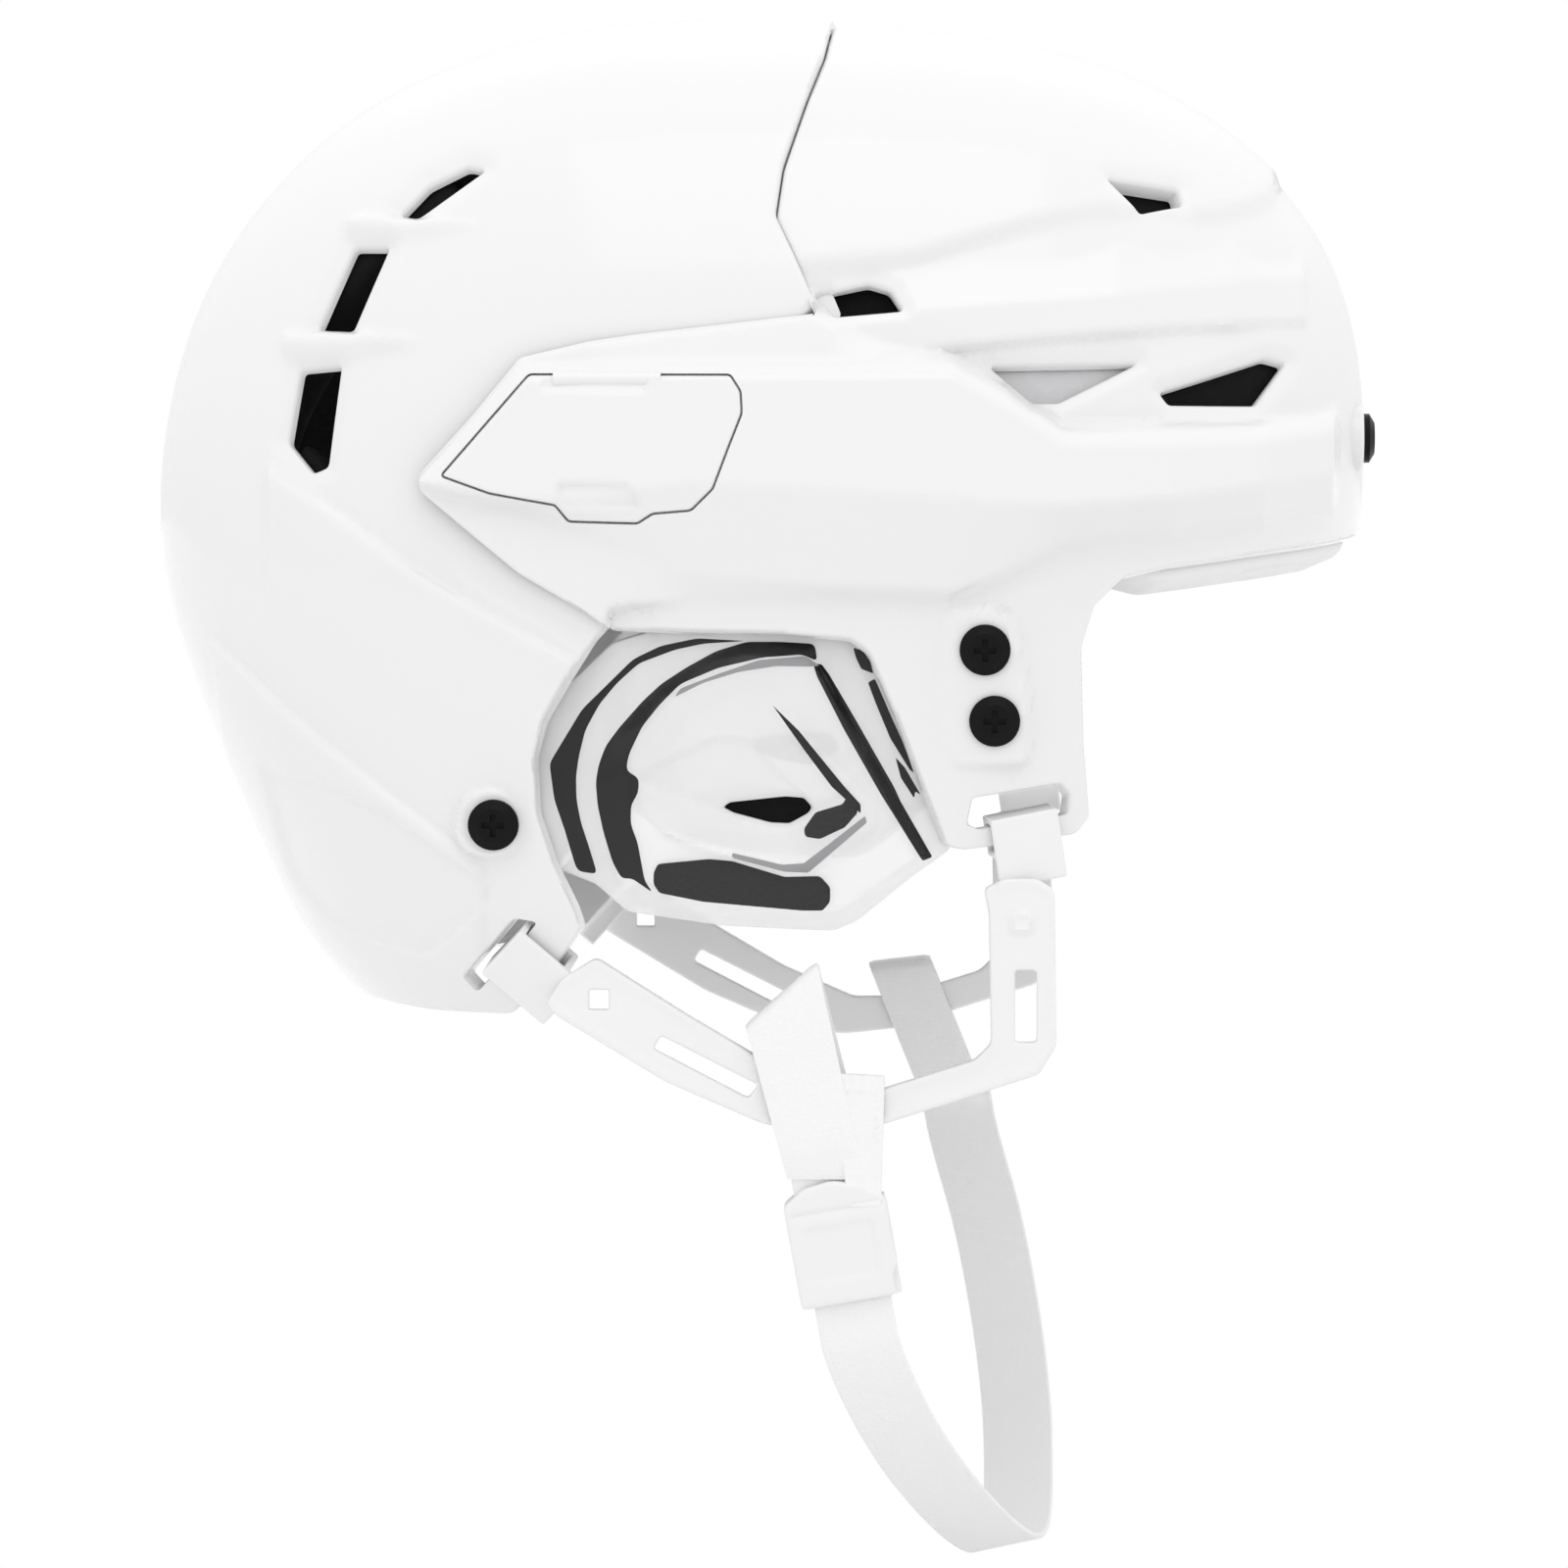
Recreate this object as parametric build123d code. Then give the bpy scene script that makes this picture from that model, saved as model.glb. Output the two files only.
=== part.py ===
from build123d import *
import math
import os

os.makedirs("parts", exist_ok=True)

# Ice hockey helmet, in millimetres and degrees. +X is forward, +Y the wearer's left, +Z up.
# The origin lies on the symmetry plane, on the line through the two ear openings.
# A share along X is taken of side_length, a share along Z of crown_height.
side_length = 284.0
crown_height = 184.0
half_width = 98.0

# Shell walls and how the two shells lap
wall = 3.2
rear_lift = 3.0
rear_spread = 1.6
tongue_depth = 1.1
tongue_side_depth = 2.4
tongue_wall = 2.5
tongue_side_wall = 2.0
tongue_reach = 24.0
tongue_root = 10.0
tongue_low_share = (-0.079, 0.294)
seam_gap = 0.8
size_travel = 12.0
running_gap = 0.6
panel_lift = 1.6
overrun = 40.0
cut_reach = 150.0

# Shape of the plain surface: a superellipse arch over the ear axis in every fan plane
squareness = 2.6
arch_power = 2 / squareness
arch_turn = 81.0
arch_points = 9
fan_step = 12.0

# Centre profile of the shells, from below the brow over the crown to below the nape
profile_shares = [
    (0.421, -0.165), (0.487, 0.013), (0.510, 0.165), (0.513, 0.292), (0.523, 0.419), (0.523, 0.545),
    (0.513, 0.647), (0.492, 0.733), (0.454, 0.812), (0.380, 0.903), (0.289, 0.964), (0.207, 0.987),
    (0.067, 1.001), (-0.039, 1.002), (-0.122, 0.993), (-0.187, 0.969), (-0.245, 0.936), (-0.294, 0.898),
    (-0.339, 0.847), (-0.393, 0.755), (-0.430, 0.660), (-0.453, 0.552), (-0.464, 0.444), (-0.464, 0.349),
    (-0.454, 0.260), (-0.434, 0.178), (-0.405, 0.070), (-0.376, -0.036), (-0.348, -0.127),
    (-0.311, -0.197), (-0.220, -0.292), (-0.105, -0.381),
]

# Fan angles about the ear axis, measured from +X towards +Z
front_fan = (-4.0, 140.0)
rear_fan = (76.0, 220.0)
tongue_fan = (68.0, 140.0)
panel_fan = (44.0, 92.0)

# Side outlines: the joint between the shells, the face edge, the ear edge and the nape edge
seam_shares = [
    (-0.083, 0.269), (-0.060, 0.420), (0.030, 0.580), (0.078, 0.650), (0.062, 0.707), (0.045, 0.760),
    (0.050, 0.820), (0.067, 0.903), (0.080, 0.960), (0.094, 1.100),
]
face_edge_shares = [
    (0.600, 0.366), (0.510, 0.366), (0.443, 0.357), (0.363, 0.343), (0.324, 0.331), (0.300, 0.296),
    (0.290, 0.246), (0.292, 0.127), (0.297, 0.036), (0.286, 0.015), (0.240, 0.006), (0.198, -0.002),
    (0.183, 0.003), (0.163, 0.082), (0.144, 0.160), (0.122, 0.239), (0.108, 0.256), (0.055, 0.263),
    (-0.021, 0.265),
]
nape_edge_shares = [
    (-0.093, 0.253), (-0.111, 0.209), (-0.132, 0.154), (-0.140, 0.109), (-0.138, 0.043), (-0.125, -0.017),
    (-0.108, -0.071), (-0.103, -0.095), (-0.125, -0.146), (-0.159, -0.206), (-0.226, -0.210),
    (-0.292, -0.206), (-0.370, -0.200), (-0.600, -0.200), (-0.600, 1.200), (0.100, 1.200),
]
crown_over_shares = [(0.100, 1.300), (0.600, 1.300)]
panel_edge_shares = [
    (0.064, 0.700), (0.150, 0.712), (0.250, 0.757), (0.300, 0.772), (0.395, 0.765), (0.440, 0.785),
    (0.480, 0.900), (0.480, 1.200), (0.100, 1.200),
]

# Side wing of the front shell: shares along X, then heights of its lines from the lower rim up
wing_lift = 10.5
wing_bevel_lift = 9.0
wing_top_lift = 5.5
wing_low_lift = 4.0
hood_wall = 2.0
hood_steps = 5
wing_root = 1.5
wing_foot_lift = 0.6
hood_station_shares = [
    (-0.234, 0.436, 0.439, 0.445, 0.450, 0.452, 0.454),
    (-0.192, 0.383, 0.420, 0.433, 0.500, 0.521, 0.526),
    (-0.155, 0.337, 0.413, 0.425, 0.568, 0.588, 0.596),
    (-0.100, 0.288, 0.378, 0.425, 0.572, 0.589, 0.616),
    (-0.066, 0.300, 0.358, 0.436, 0.573, 0.590, 0.624),
]
saddle_station_shares = [
    (-0.066, 0.326, 0.358, 0.436, 0.573, 0.590, 0.624),
    (-0.021, 0.318, 0.337, 0.447, 0.574, 0.591, 0.632),
    (0.092, 0.304, 0.322, 0.439, 0.575, 0.592, 0.648),
]
wing_station_shares = [
    (0.092, 0.304, 0.322, 0.439, 0.575, 0.592, 0.600),
    (0.186, 0.298, 0.316, 0.428, 0.576, 0.593, 0.600),
    (0.232, 0.325, 0.343, 0.422, 0.535, 0.555, 0.562),
    (0.276, 0.362, 0.378, 0.420, 0.492, 0.510, 0.517),
    (0.363, 0.374, 0.390, 0.427, 0.492, 0.511, 0.518),
    (0.434, 0.386, 0.402, 0.440, 0.494, 0.512, 0.520),
    (0.495, 0.398, 0.414, 0.448, 0.504, 0.522, 0.530),
]
ledge_low_lift = 3.0
ledge_mid_lift = 4.0
ledge_top_lift = 0.2
ledge_station_shares = [
    (0.092, 0.598, 0.650, 0.690),
    (0.200, 0.612, 0.660, 0.715),
    (0.320, 0.628, 0.674, 0.735),
    (0.410, 0.636, 0.690, 0.748),
    (0.470, 0.640, 0.694, 0.744),
]

# Vent outlines of the right side; the left side mirrors them
vent_corner = 1.1
front_vent_shares = [
    [(0.078, 0.676), (0.121, 0.690), (0.138, 0.682), (0.148, 0.658), (0.094, 0.651)],
    [(0.309, 0.812), (0.365, 0.799), (0.368, 0.780), (0.335, 0.772)],
    [(0.218, 0.588), (0.333, 0.591), (0.272, 0.545), (0.252, 0.545)],
    [(0.353, 0.556), (0.440, 0.597), (0.455, 0.590), (0.430, 0.540), (0.360, 0.542)],
]
rear_vent_shares = [
    [(-0.254, 0.763), (-0.233, 0.798), (-0.202, 0.822), (-0.188, 0.818), (-0.240, 0.760)],
    [(-0.318, 0.624), (-0.291, 0.723), (-0.263, 0.723), (-0.290, 0.622)],
    [(-0.341, 0.486), (-0.332, 0.574), (-0.299, 0.579), (-0.308, 0.458), (-0.320, 0.450)],
]

# Screws with their nuts, and the pads that they sit on
head_radius = 5.7
head_height = 2.6
head_bevel = 2.0
head_bevel_height = 1.2
shank_radius = 2.45
barrel_radius = 3.4
barrel_bore = 2.55
flange_radius = 6.2
flange_height = 1.2
hole_gap = 0.1
thread_end = 1.5
socket_depth = 1.2
socket_width = 1.3
socket_length = 5.0
pad_rise = 1.8
slope_share = 0.01
pad_depth = 5.4
seat_gap = 0.15
pad_corner = 6.0
seat_sink = 0.4
seat_rim = 0.5
temple_pad_shares = [
    (0.180, 0.292), (0.232, 0.292), (0.247, 0.190), (0.247, 0.100), (0.186, 0.100), (0.180, 0.190),
]
temple_screw_shares = [(0.2127, 0.243), (0.2204, 0.1565)]
nape_screw_share = (-0.1746, 0.029)
round_pad_radius = 7.6
brow_screw_height_share = 0.490
brow_screw_side = 28.0
brow_pad_rise = 1.4

# Ear guards: a flange inside the shell, and an arched bulge that stands out in the ear opening
guard_wall = 2.0
guard_gap = 0.8
guard_dome = 500.0
guard_step = 3.4
guard_taper = 35.0
guard_outline_shares = [
    (-0.140, 0.060), (-0.137, 0.112), (-0.108, 0.190), (-0.072, 0.245), (-0.030, 0.275), (0.110, 0.275),
    (0.150, 0.290), (0.232, 0.290), (0.243, 0.210), (0.243, 0.110), (0.205, 0.100), (0.193, 0.020),
    (0.184, -0.004), (0.155, -0.036), (0.112, -0.090), (0.093, -0.102), (0.008, -0.096),
    (-0.070, -0.079), (-0.095, -0.045), (-0.128, -0.020),
]
guard_arch_shares = [
    (-0.070, -0.056), (-0.100, 0.038), (-0.094, 0.122), (-0.060, 0.198), (0.000, 0.234), (0.070, 0.240),
    (0.100, 0.214), (0.148, 0.056), (0.158, -0.006), (0.108, -0.066), (0.088, -0.086), (-0.028, -0.082),
]
guard_diamond_shares = [(-0.058, 0.088), (0.012, 0.130), (0.031, 0.124), (0.076, 0.050), (0.054, 0.036)]
guard_slot_shares = [
    (0.008, 0.045), (0.030, 0.060), (0.058, 0.061), (0.071, 0.046), (0.058, 0.032), (0.030, 0.034),
]
guard_pill_shares = [
    (-0.048, -0.044), (-0.037, -0.020), (0.074, -0.031), (0.087, -0.049), (0.072, -0.074), (-0.034, -0.064),
]
diamond_depth = 1.2
pill_depth = 1.0

# Ear loops: flat moulded straps whose ends fold round the shell's slots
loop_plane = 96.2
loop_wall = 2.4
fold_wall = 1.5
fold_gap = 0.8
rear_fold_gap = 1.15
fold_width = 15.6
fold_round = 1.4
fold_tail = 11.0
loop_outline_shares = [
    (-0.126, -0.206), (-0.134, -0.192), (-0.121, -0.160), (-0.094, -0.134), (-0.024, -0.202),
    (0.031, -0.252),
    (0.093, -0.294), (0.132, -0.294), (0.205, -0.258), (0.218, -0.238), (0.216, -0.078), (0.212, -0.048),
    (0.228, -0.036), (0.254, -0.036), (0.268, -0.050), (0.270, -0.240), (0.256, -0.276), (0.132, -0.338),
    (0.085, -0.346), (0.038, -0.338), (-0.039, -0.287),
]
loop_cut_shares = [
    [(-0.043, -0.230), (0.034, -0.290), (0.026, -0.306), (-0.049, -0.246)],
    [(0.237, -0.148), (0.254, -0.148), (0.254, -0.236), (0.237, -0.236)],
]
loop_hole_side = 4.4
loop_hole_share = (-0.092, -0.186)
loop_peg_share = (0.242, -0.087)
peg_height = 0.8
front_slot_shares = [
    (0.200, 0.030), (0.204, 0.062), (0.272, 0.078), (0.280, 0.064), (0.278, 0.040), (0.208, 0.024),
]
rear_slot_shares = [(-0.186, -0.178), (-0.196, -0.160), (-0.155, -0.086), (-0.138, -0.090)]
front_bar_shares = ((0.243, 0.0295), (0.2452, 0.0065))
rear_bar_shares = ((-0.162, -0.134), (-0.137, -0.167))
slot_corner = 1.5

# Lever on the rear of each wing, its hinge and its pawl
lever_wall = 2.2
lever_gap = 0.4
lever_barrel_radius = 1.8
lever_pin_radius = 0.9
lever_pin_gap = 0.05
lever_trough_gap = 0.35
lever_lug = 2.6
lever_lug_gap = 0.3
lever_hinge_shares = (-0.127, -0.042)
lever_hinge_height_share = 0.570
lever_outline_shares = [
    (-0.214, 0.454), (-0.161, 0.546), (-0.137, 0.546), (-0.134, 0.575), (-0.032, 0.575), (-0.030, 0.566),
    (0.016, 0.566), (0.021, 0.530), (0.011, 0.490),
    (-0.001, 0.440), (-0.018, 0.414), (-0.048, 0.410), (-0.060, 0.398), (-0.114, 0.400), (-0.124, 0.420),
    (-0.176, 0.434),
]
lever_relief_shares = [
    (-0.166, 0.540), (-0.160, 0.556), (-0.146, 0.560), (-0.143, 0.582), (0.014, 0.582), (0.018, 0.560),
]
pawl_shares = [(-0.075, 0.486), (-0.075, 0.512), (-0.033, 0.512), (-0.033, 0.486)]
pawl_gap = 1.0
pawl_teeth = 3
pawl_tip_gap = 0.3
rack_teeth = 6
rack_pitch = 3.0
rack_groove = 1.3
rack_depth = 0.8
rack_start_share = -0.115
rack_height_shares = (0.478, 0.520)

# Liner pads: fan angles and arch turns, under the front shell and under the rear shell
liner_gap = 0.6
liner_depth = 12.0
tongue_clear_lift = -4.2
tongue_clear_spread = -5.4
front_pads = {
    "crown_pad": (68.0, 92.0, -37.0, 37.0),
    "right_temple_pad": (68.0, 92.0, -70.0, -42.0),
    "left_temple_pad": (68.0, 92.0, 42.0, 70.0),
}
rear_pads = {
    "rear_crown_pad": (112.0, 148.0, -38.0, 38.0),
    "occipital_pad": (160.0, 196.0, -34.0, 34.0),
    "right_rear_pad": (136.0, 172.0, -66.0, -44.0),
    "left_rear_pad": (136.0, 172.0, 44.0, 66.0),
}
brow_pad_range = (20.0, 68.0, -54.0, 54.0)
brow_pad_outline_shares = [
    (0.600, 0.350), (0.500, 0.350), (0.443, 0.342), (0.363, 0.328), (0.330, 0.340), (0.290, 0.420),
    (0.185, 0.620), (0.272, 0.940), (0.400, 1.200), (0.600, 1.200),
]
nut_gap = 0.5

# Chin strap: webbing that hangs from the two ear loops, and its slide adjuster
webbing_width = 17.5
webbing_thickness = 1.5
strap_route = [
    (25.1, -95.0, -70.0), (32.6, -93.2, -112.0), (38.4, -84.0, -128.0), (45.2, -67.0, -143.0),
    (53.2, -45.0, -157.5), (60.4, -19.0, -169.5), (65.4, 8.0, -177.0), (67.8, 38.0, -178.5),
    (68.4, 62.0, -170.5), (67.8, 78.0, -155.0), (65.2, 87.0, -135.0), (60.6, 91.6, -111.5),
    (54.6, 94.2, -90.0), (52.2, 95.0, -78.0),
]
webbing_lean = 0.22
loop_slack = 0.3
layer_gap = 0.1
near_end_shares = [
    (0.027, -0.221), (0.047, -0.167), (0.080, -0.142), (0.098, -0.281), (0.133, -0.281), (0.133, -0.350),
    (0.122, -0.394), (0.058, -0.394), (0.039, -0.329),
]
near_hollow_shares = [
    (-0.100, -0.240), (0.027, -0.232), (0.049, -0.176), (0.081, -0.152), (0.096, -0.290), (0.200, -0.290),
    (0.200, -0.384), (-0.100, -0.384),
]
near_tab_shares = [(0.094, -0.270), (0.200, -0.270), (0.200, -0.450), (0.124, -0.450)]
near_taper_shares = (-0.368, -0.392)
far_end_shares = [
    (0.108, -0.256), (0.166, -0.244), (0.180, -0.330), (0.211, -0.430), (0.152, -0.430), (0.124, -0.345),
]
far_hollow_shares = [
    (-0.100, -0.266), (0.110, -0.266), (0.166, -0.253), (0.300, -0.253), (0.300, -0.400), (-0.100, -0.400),
]
far_taper_shares = (-0.372, -0.412)

# Slide adjuster on the webbing: outline in its own plane from the middle of its slot
adjuster_middle_share = 0.44
adjuster_outline_shares = [
    (-0.500, -0.500), (-0.500, 0.360), (-0.280, 0.470), (0.000, 0.500), (0.280, 0.440), (0.500, 0.300),
    (0.500, -0.260), (0.440, -0.330), (0.440, -0.500),
]
adjuster_width = 23.0
adjuster_height = 28.0
adjuster_depth = 6.4
adjuster_gap = 0.5
adjuster_edge = 1.0
adjuster_recess_depth = 0.9
adjuster_recess_share = 0.62
adjuster_recess_height = 9.0


def place(share):
    """A point of the side view, from its shares."""
    return share[0] * side_length, share[1] * crown_height


def fan_angle(point):
    """Angle of a side view point about the ear axis, rising from the face over the crown."""
    angle = math.degrees(math.atan2(point[1], point[0]))
    return angle + 360 if angle < -90 else angle


profile = sorted((fan_angle(place(share)), math.hypot(*place(share))) for share in profile_shares)


def reach(angle):
    """Distance from the ear axis to the centre profile at a fan angle."""
    for (angle_a, reach_a), (angle_b, reach_b) in zip(profile, profile[1:]):
        if angle_a <= angle <= angle_b:
            return reach_a + (reach_b - reach_a) * (angle - angle_a) / (angle_b - angle_a)
    return profile[0][1] if angle < profile[0][0] else profile[-1][1]


def arch_point(angle, turn, lift, spread):
    """Point of the surface in a fan plane, lifted off the plain surface at the top and the side."""
    turn = math.radians(turn)
    radial = (reach(angle) + lift) * math.cos(turn) ** arch_power
    side = (half_width + spread) * math.copysign(abs(math.sin(turn)) ** arch_power, turn)
    angle = math.radians(angle)
    return Vector(radial * math.cos(angle), side, radial * math.sin(angle))


def steps(first, last, count):
    return [first + (last - first) * index / count for index in range(count + 1)]


def fan_section(angle, outer, inner, turns):
    """Closed arch of wall between two lifts, in one fan plane."""
    outside = [arch_point(angle, turn, *outer) for turn in turns]
    inside = [arch_point(angle, turn, *inner) for turn in reversed(turns)]
    return Wire(
        [Spline(*outside), Line(outside[-1], inside[0]), Spline(*inside), Line(inside[-1], outside[0])]
    )


def fan_solid(fan, outer, inner, turn_range=(-arch_turn, arch_turn), points=arch_points):
    """Curved wall lofted through fan planes about the ear axis."""
    angles = steps(fan[0], fan[1], max(2, round((fan[1] - fan[0]) / fan_step)))
    turns = steps(turn_range[0], turn_range[1], points - 1)
    return Part() + Solid.make_loft([fan_section(angle, outer, inner, turns) for angle in angles])


def side_face(shares, corner=0):
    """Flat outline in the side view."""
    face = make_face(Polyline(*[place(share) for share in shares], close=True))
    if corner:
        face = fillet(face.vertices(), corner)
    return Plane.XZ * face


def across(face):
    """Prism of a side view outline through both sides."""
    return extrude(face, amount=cut_reach, both=True)


def right_of(face, depth=cut_reach):
    """Prism of a side view outline from the centre out to the right."""
    return extrude(face, amount=depth)


def between(face, near, far):
    """Prism of a side view outline between two distances to the right of the centre."""
    return Pos(0, -near, 0) * extrude(face, amount=far - near)


def both(shape):
    return shape + mirror(shape, about=Plane.XZ)


def side_y(x, z, lift=0, spread=0):
    """Distance of the surface from the symmetry plane at a side view point."""
    share = math.hypot(x, z) / (reach(fan_angle((x, z))) + lift)
    return (half_width + spread) * max(0, 1 - share ** squareness) ** (1 / squareness)


def rear_cover(x, z):
    """Least distance of a cover that the sliding rear shell never touches."""
    reached = [side_y(x + size_travel * step, z, rear_lift, rear_spread) for step in (0, 0.5, 1)]
    return max(reached) + running_gap


def shell_regions():
    seam = [(share[0] + seam_gap / side_length, share[1]) for share in seam_shares]
    front = side_face(face_edge_shares + seam + crown_over_shares)
    rear = side_face(seam_shares[::-1] + nape_edge_shares)
    line = [tongue_low_share] + seam_shares[1:]
    tongue = [(share[0] + tongue_root / side_length, share[1]) for share in line]
    tongue += [(share[0] - tongue_reach / side_length, share[1]) for share in reversed(line)]
    return across(front), across(rear), across(side_face(tongue))


def wing_section(station, foot_inside):
    """Closed section of the wing in the plane of one station, right side."""
    x = station[0] * side_length
    low, wing_low, crease, bevel, wing_top, top = [share * crown_height for share in station[1:]]
    lifts = (wing_low_lift, wing_lift, wing_bevel_lift, wing_top_lift)
    points = [(low, rear_cover(x, low) + hood_wall)]
    for height, lift in zip((wing_low, crease, bevel, wing_top), lifts):
        points.append((height, max(side_y(x, height, 0, lift), rear_cover(x, height) + hood_wall)))
    points.append((top, rear_cover(x, top) + hood_wall))
    inside = steps(top, low, hood_steps)
    points += [(height, rear_cover(x, height)) for height in inside]
    if foot_inside:
        points[0] = (low, side_y(x, low, 0, wing_foot_lift))
        points[-1] = (low, side_y(x, low) - wing_root)
    return Wire(Polyline(*[(x, -y, z) for z, y in points], close=True).edges())


def front_wing_section(station):
    """Closed section of the wing where it is solid with the front shell."""
    x = station[0] * side_length
    low, wing_low, crease, bevel, wing_top, top = [share * crown_height for share in station[1:]]
    lifts = (wing_foot_lift, wing_low_lift, wing_lift, wing_bevel_lift, wing_top_lift, wing_foot_lift)
    heights = (low, wing_low, crease, bevel, wing_top, top)
    points = [(height, side_y(x, height, 0, lift)) for height, lift in zip(heights, lifts)]
    points += [(height, side_y(x, height) - wing_root) for height in (top, crease, low)]
    return Wire(Polyline(*[(x, -y, z) for z, y in points], close=True).edges())


def ledge_section(station):
    x = station[0] * side_length
    heights = [share * crown_height for share in station[1:]]
    lifts = (ledge_low_lift, ledge_mid_lift, ledge_top_lift)
    points = [(height, side_y(x, height, 0, lift)) for height, lift in zip(heights, lifts)]
    points += [(height, side_y(x, height) - wing_root) for height in (heights[2], heights[0])]
    return Wire(Polyline(*[(x, -y, z) for z, y in points], close=True).edges())


def loft_of(sections):
    return Part() + Solid.make_loft(sections, True)


def skin_section(station, outset, inset):
    """Section of a skin that follows the wing's outer face."""
    x = station[0] * side_length
    heights = [share * crown_height for share in station[2:6]]
    lifts = (wing_low_lift, wing_lift, wing_bevel_lift, wing_top_lift)
    outer = []
    for height, lift in zip(heights, lifts):
        outer.append((height, max(side_y(x, height, 0, lift), rear_cover(x, height) + hood_wall)))
    points = [(z, y + outset) for z, y in outer] + [(z, y - inset) for z, y in reversed(outer)]
    return Wire(Polyline(*[(x, -y, z) for z, y in points], close=True).edges())


def wing_skin(outset, inset):
    hood = loft_of([skin_section(station, outset, inset) for station in hood_station_shares])
    return hood + loft_of([skin_section(station, outset, inset) for station in saddle_station_shares])


def shell_plane(share, across_share, lift=0, spread=0):
    """Plane on the right side's surface, its x axis from one side view point to another."""
    start, end = [
        Vector(x, -side_y(x, z, lift, spread), z) for x, z in (place(share), place(across_share))
    ]
    middle = (start + end) / 2
    span = slope_share * side_length
    slopes = [
        side_y(middle.X + span * step_x, middle.Z + span * step_z, lift, spread)
        for step_x, step_z in ((1, 0), (-1, 0), (0, 1), (0, -1))
    ]
    outward = Vector((slopes[0] - slopes[1]) / (2 * span), 1, (slopes[2] - slopes[3]) / (2 * span))
    outward = Vector(-outward.X, -1, -outward.Z)
    run = (end - start).normalized()
    return Plane(origin=start, x_dir=run, z_dir=outward - run * outward.dot(run))


def screw_at(point, direction, grip):
    """Truss head screw whose head seats at a point, with its shank running inwards."""
    seat = Plane(origin=point, z_dir=direction)
    head = Cylinder(head_radius, head_height, align=(Align.CENTER, Align.CENTER, Align.MIN))
    head = chamfer(head.edges().group_by(Axis.Z)[-1], head_bevel_height, head_bevel)
    for angle in (0, 90):
        slot = Box(socket_length, socket_width, 2 * socket_depth)
        head -= Pos(0, 0, head_height) * Rot(0, 0, angle) * slot
    shank = Cylinder(shank_radius, grip, align=(Align.CENTER, Align.CENTER, Align.MAX))
    return seat * (head + shank)


def nut_at(point, direction, grip, barrel):
    """Flanged barrel nut inside the shell, reaching outwards round the screw's shank."""
    body = Cylinder(flange_radius, flange_height, align=(Align.CENTER, Align.CENTER, Align.MAX))
    body += Cylinder(barrel_radius, barrel, align=(Align.CENTER, Align.CENTER, Align.MIN))
    body -= Cylinder(barrel_bore, cut_reach)
    return Plane(origin=point, z_dir=direction) * Pos(0, 0, -grip) * body


def hole_at(point, direction, depth):
    """Room for a nut: a round hole for its barrel and a flat seat for its flange at a depth."""
    hole = Cylinder(barrel_radius + hole_gap, overrun)
    flat = Cylinder(flange_radius + hole_gap, overrun, align=(Align.CENTER, Align.CENTER, Align.MAX))
    return Plane(origin=point, z_dir=direction) * (hole + Pos(0, 0, -depth) * flat)


def dome(lift):
    """Ball whose right side is the ear guard's outer face."""
    guard_face = half_width - wall - guard_gap
    return Pos(0, guard_dome - guard_face - lift, 0) * Sphere(guard_dome)


def guard_depth(point):
    """Distance of the ear guard's inner face from the symmetry plane."""
    rise = guard_dome - math.sqrt(guard_dome ** 2 - point.X ** 2 - point.Z ** 2)
    return half_width - wall - guard_gap - rise - guard_wall


def pad_point(share, lift=0, spread=0):
    """Centre of a raised flat pad on the right side."""
    x, z = place(share)
    return Vector(x, -side_y(x, z, lift, spread) - pad_rise, z)


front_region, rear_region, tongue_region = shell_regions()
temple_points = [pad_point(share) for share in temple_screw_shares]
temple_face = max(-point.Y for point in temple_points)
temple_points = [Vector(point.X, seat_sink - temple_face, point.Z) for point in temple_points]
nape_point = pad_point(nape_screw_share, rear_lift, rear_spread)


def brow_reach():
    """Distance forward of the brow surface at the brow screws."""
    height = brow_screw_height_share * crown_height
    reach_x = profile_shares[5][0] * side_length
    return reach_x * (1 - (brow_screw_side / half_width) ** squareness) ** (1 / squareness)


brow_point = Vector(
    brow_reach() + brow_pad_rise, -brow_screw_side, brow_screw_height_share * crown_height
)
temple_grips = [-point.Y - guard_depth(point) for point in temple_points]
RIGHT = (0, -1, 0)
FORWARD = (1, 0, 0)


def hinge_point(share_x):
    """Point of a lever's hinge axis, just under the wing's outer face."""
    x, z = place((share_x, lever_hinge_height_share))
    return Vector(x, -side_y(x, z, 0, wing_bevel_lift) + lever_barrel_radius, z)


hinge_start = hinge_point(lever_hinge_shares[0])
hinge_end = hinge_point(lever_hinge_shares[1])
hinge_run = hinge_end - hinge_start
hinge_length = hinge_run.length


def along_hinge(radius, start, length):
    """Round bar on the hinge axis, from a distance past its start."""
    bar = Cylinder(radius, length, align=(Align.CENTER, Align.CENTER, Align.MIN))
    return Plane(origin=hinge_start, z_dir=hinge_run) * Pos(0, 0, start) * bar


def hinge_lugs(radius, margin):
    """The two lugs that hold the hinge pin, or the room that they need in the lever."""
    starts = (-lever_lug_gap - lever_lug - margin, hinge_length + lever_lug_gap - margin)
    first, last = [along_hinge(radius, start, lever_lug + 2 * margin) for start in starts]
    return first + last


def pawl_depths():
    """Tip and root of the pawl, as distances from the symmetry plane."""
    corners = [place(share) for share in pawl_shares]
    tip = max(rear_cover(x, z) for x, z in corners) - running_gap + pawl_tip_gap
    root = min(side_y(x, z, 0, wing_bevel_lift) for x, z in corners) - lever_wall / 2
    return tip, root


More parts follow.
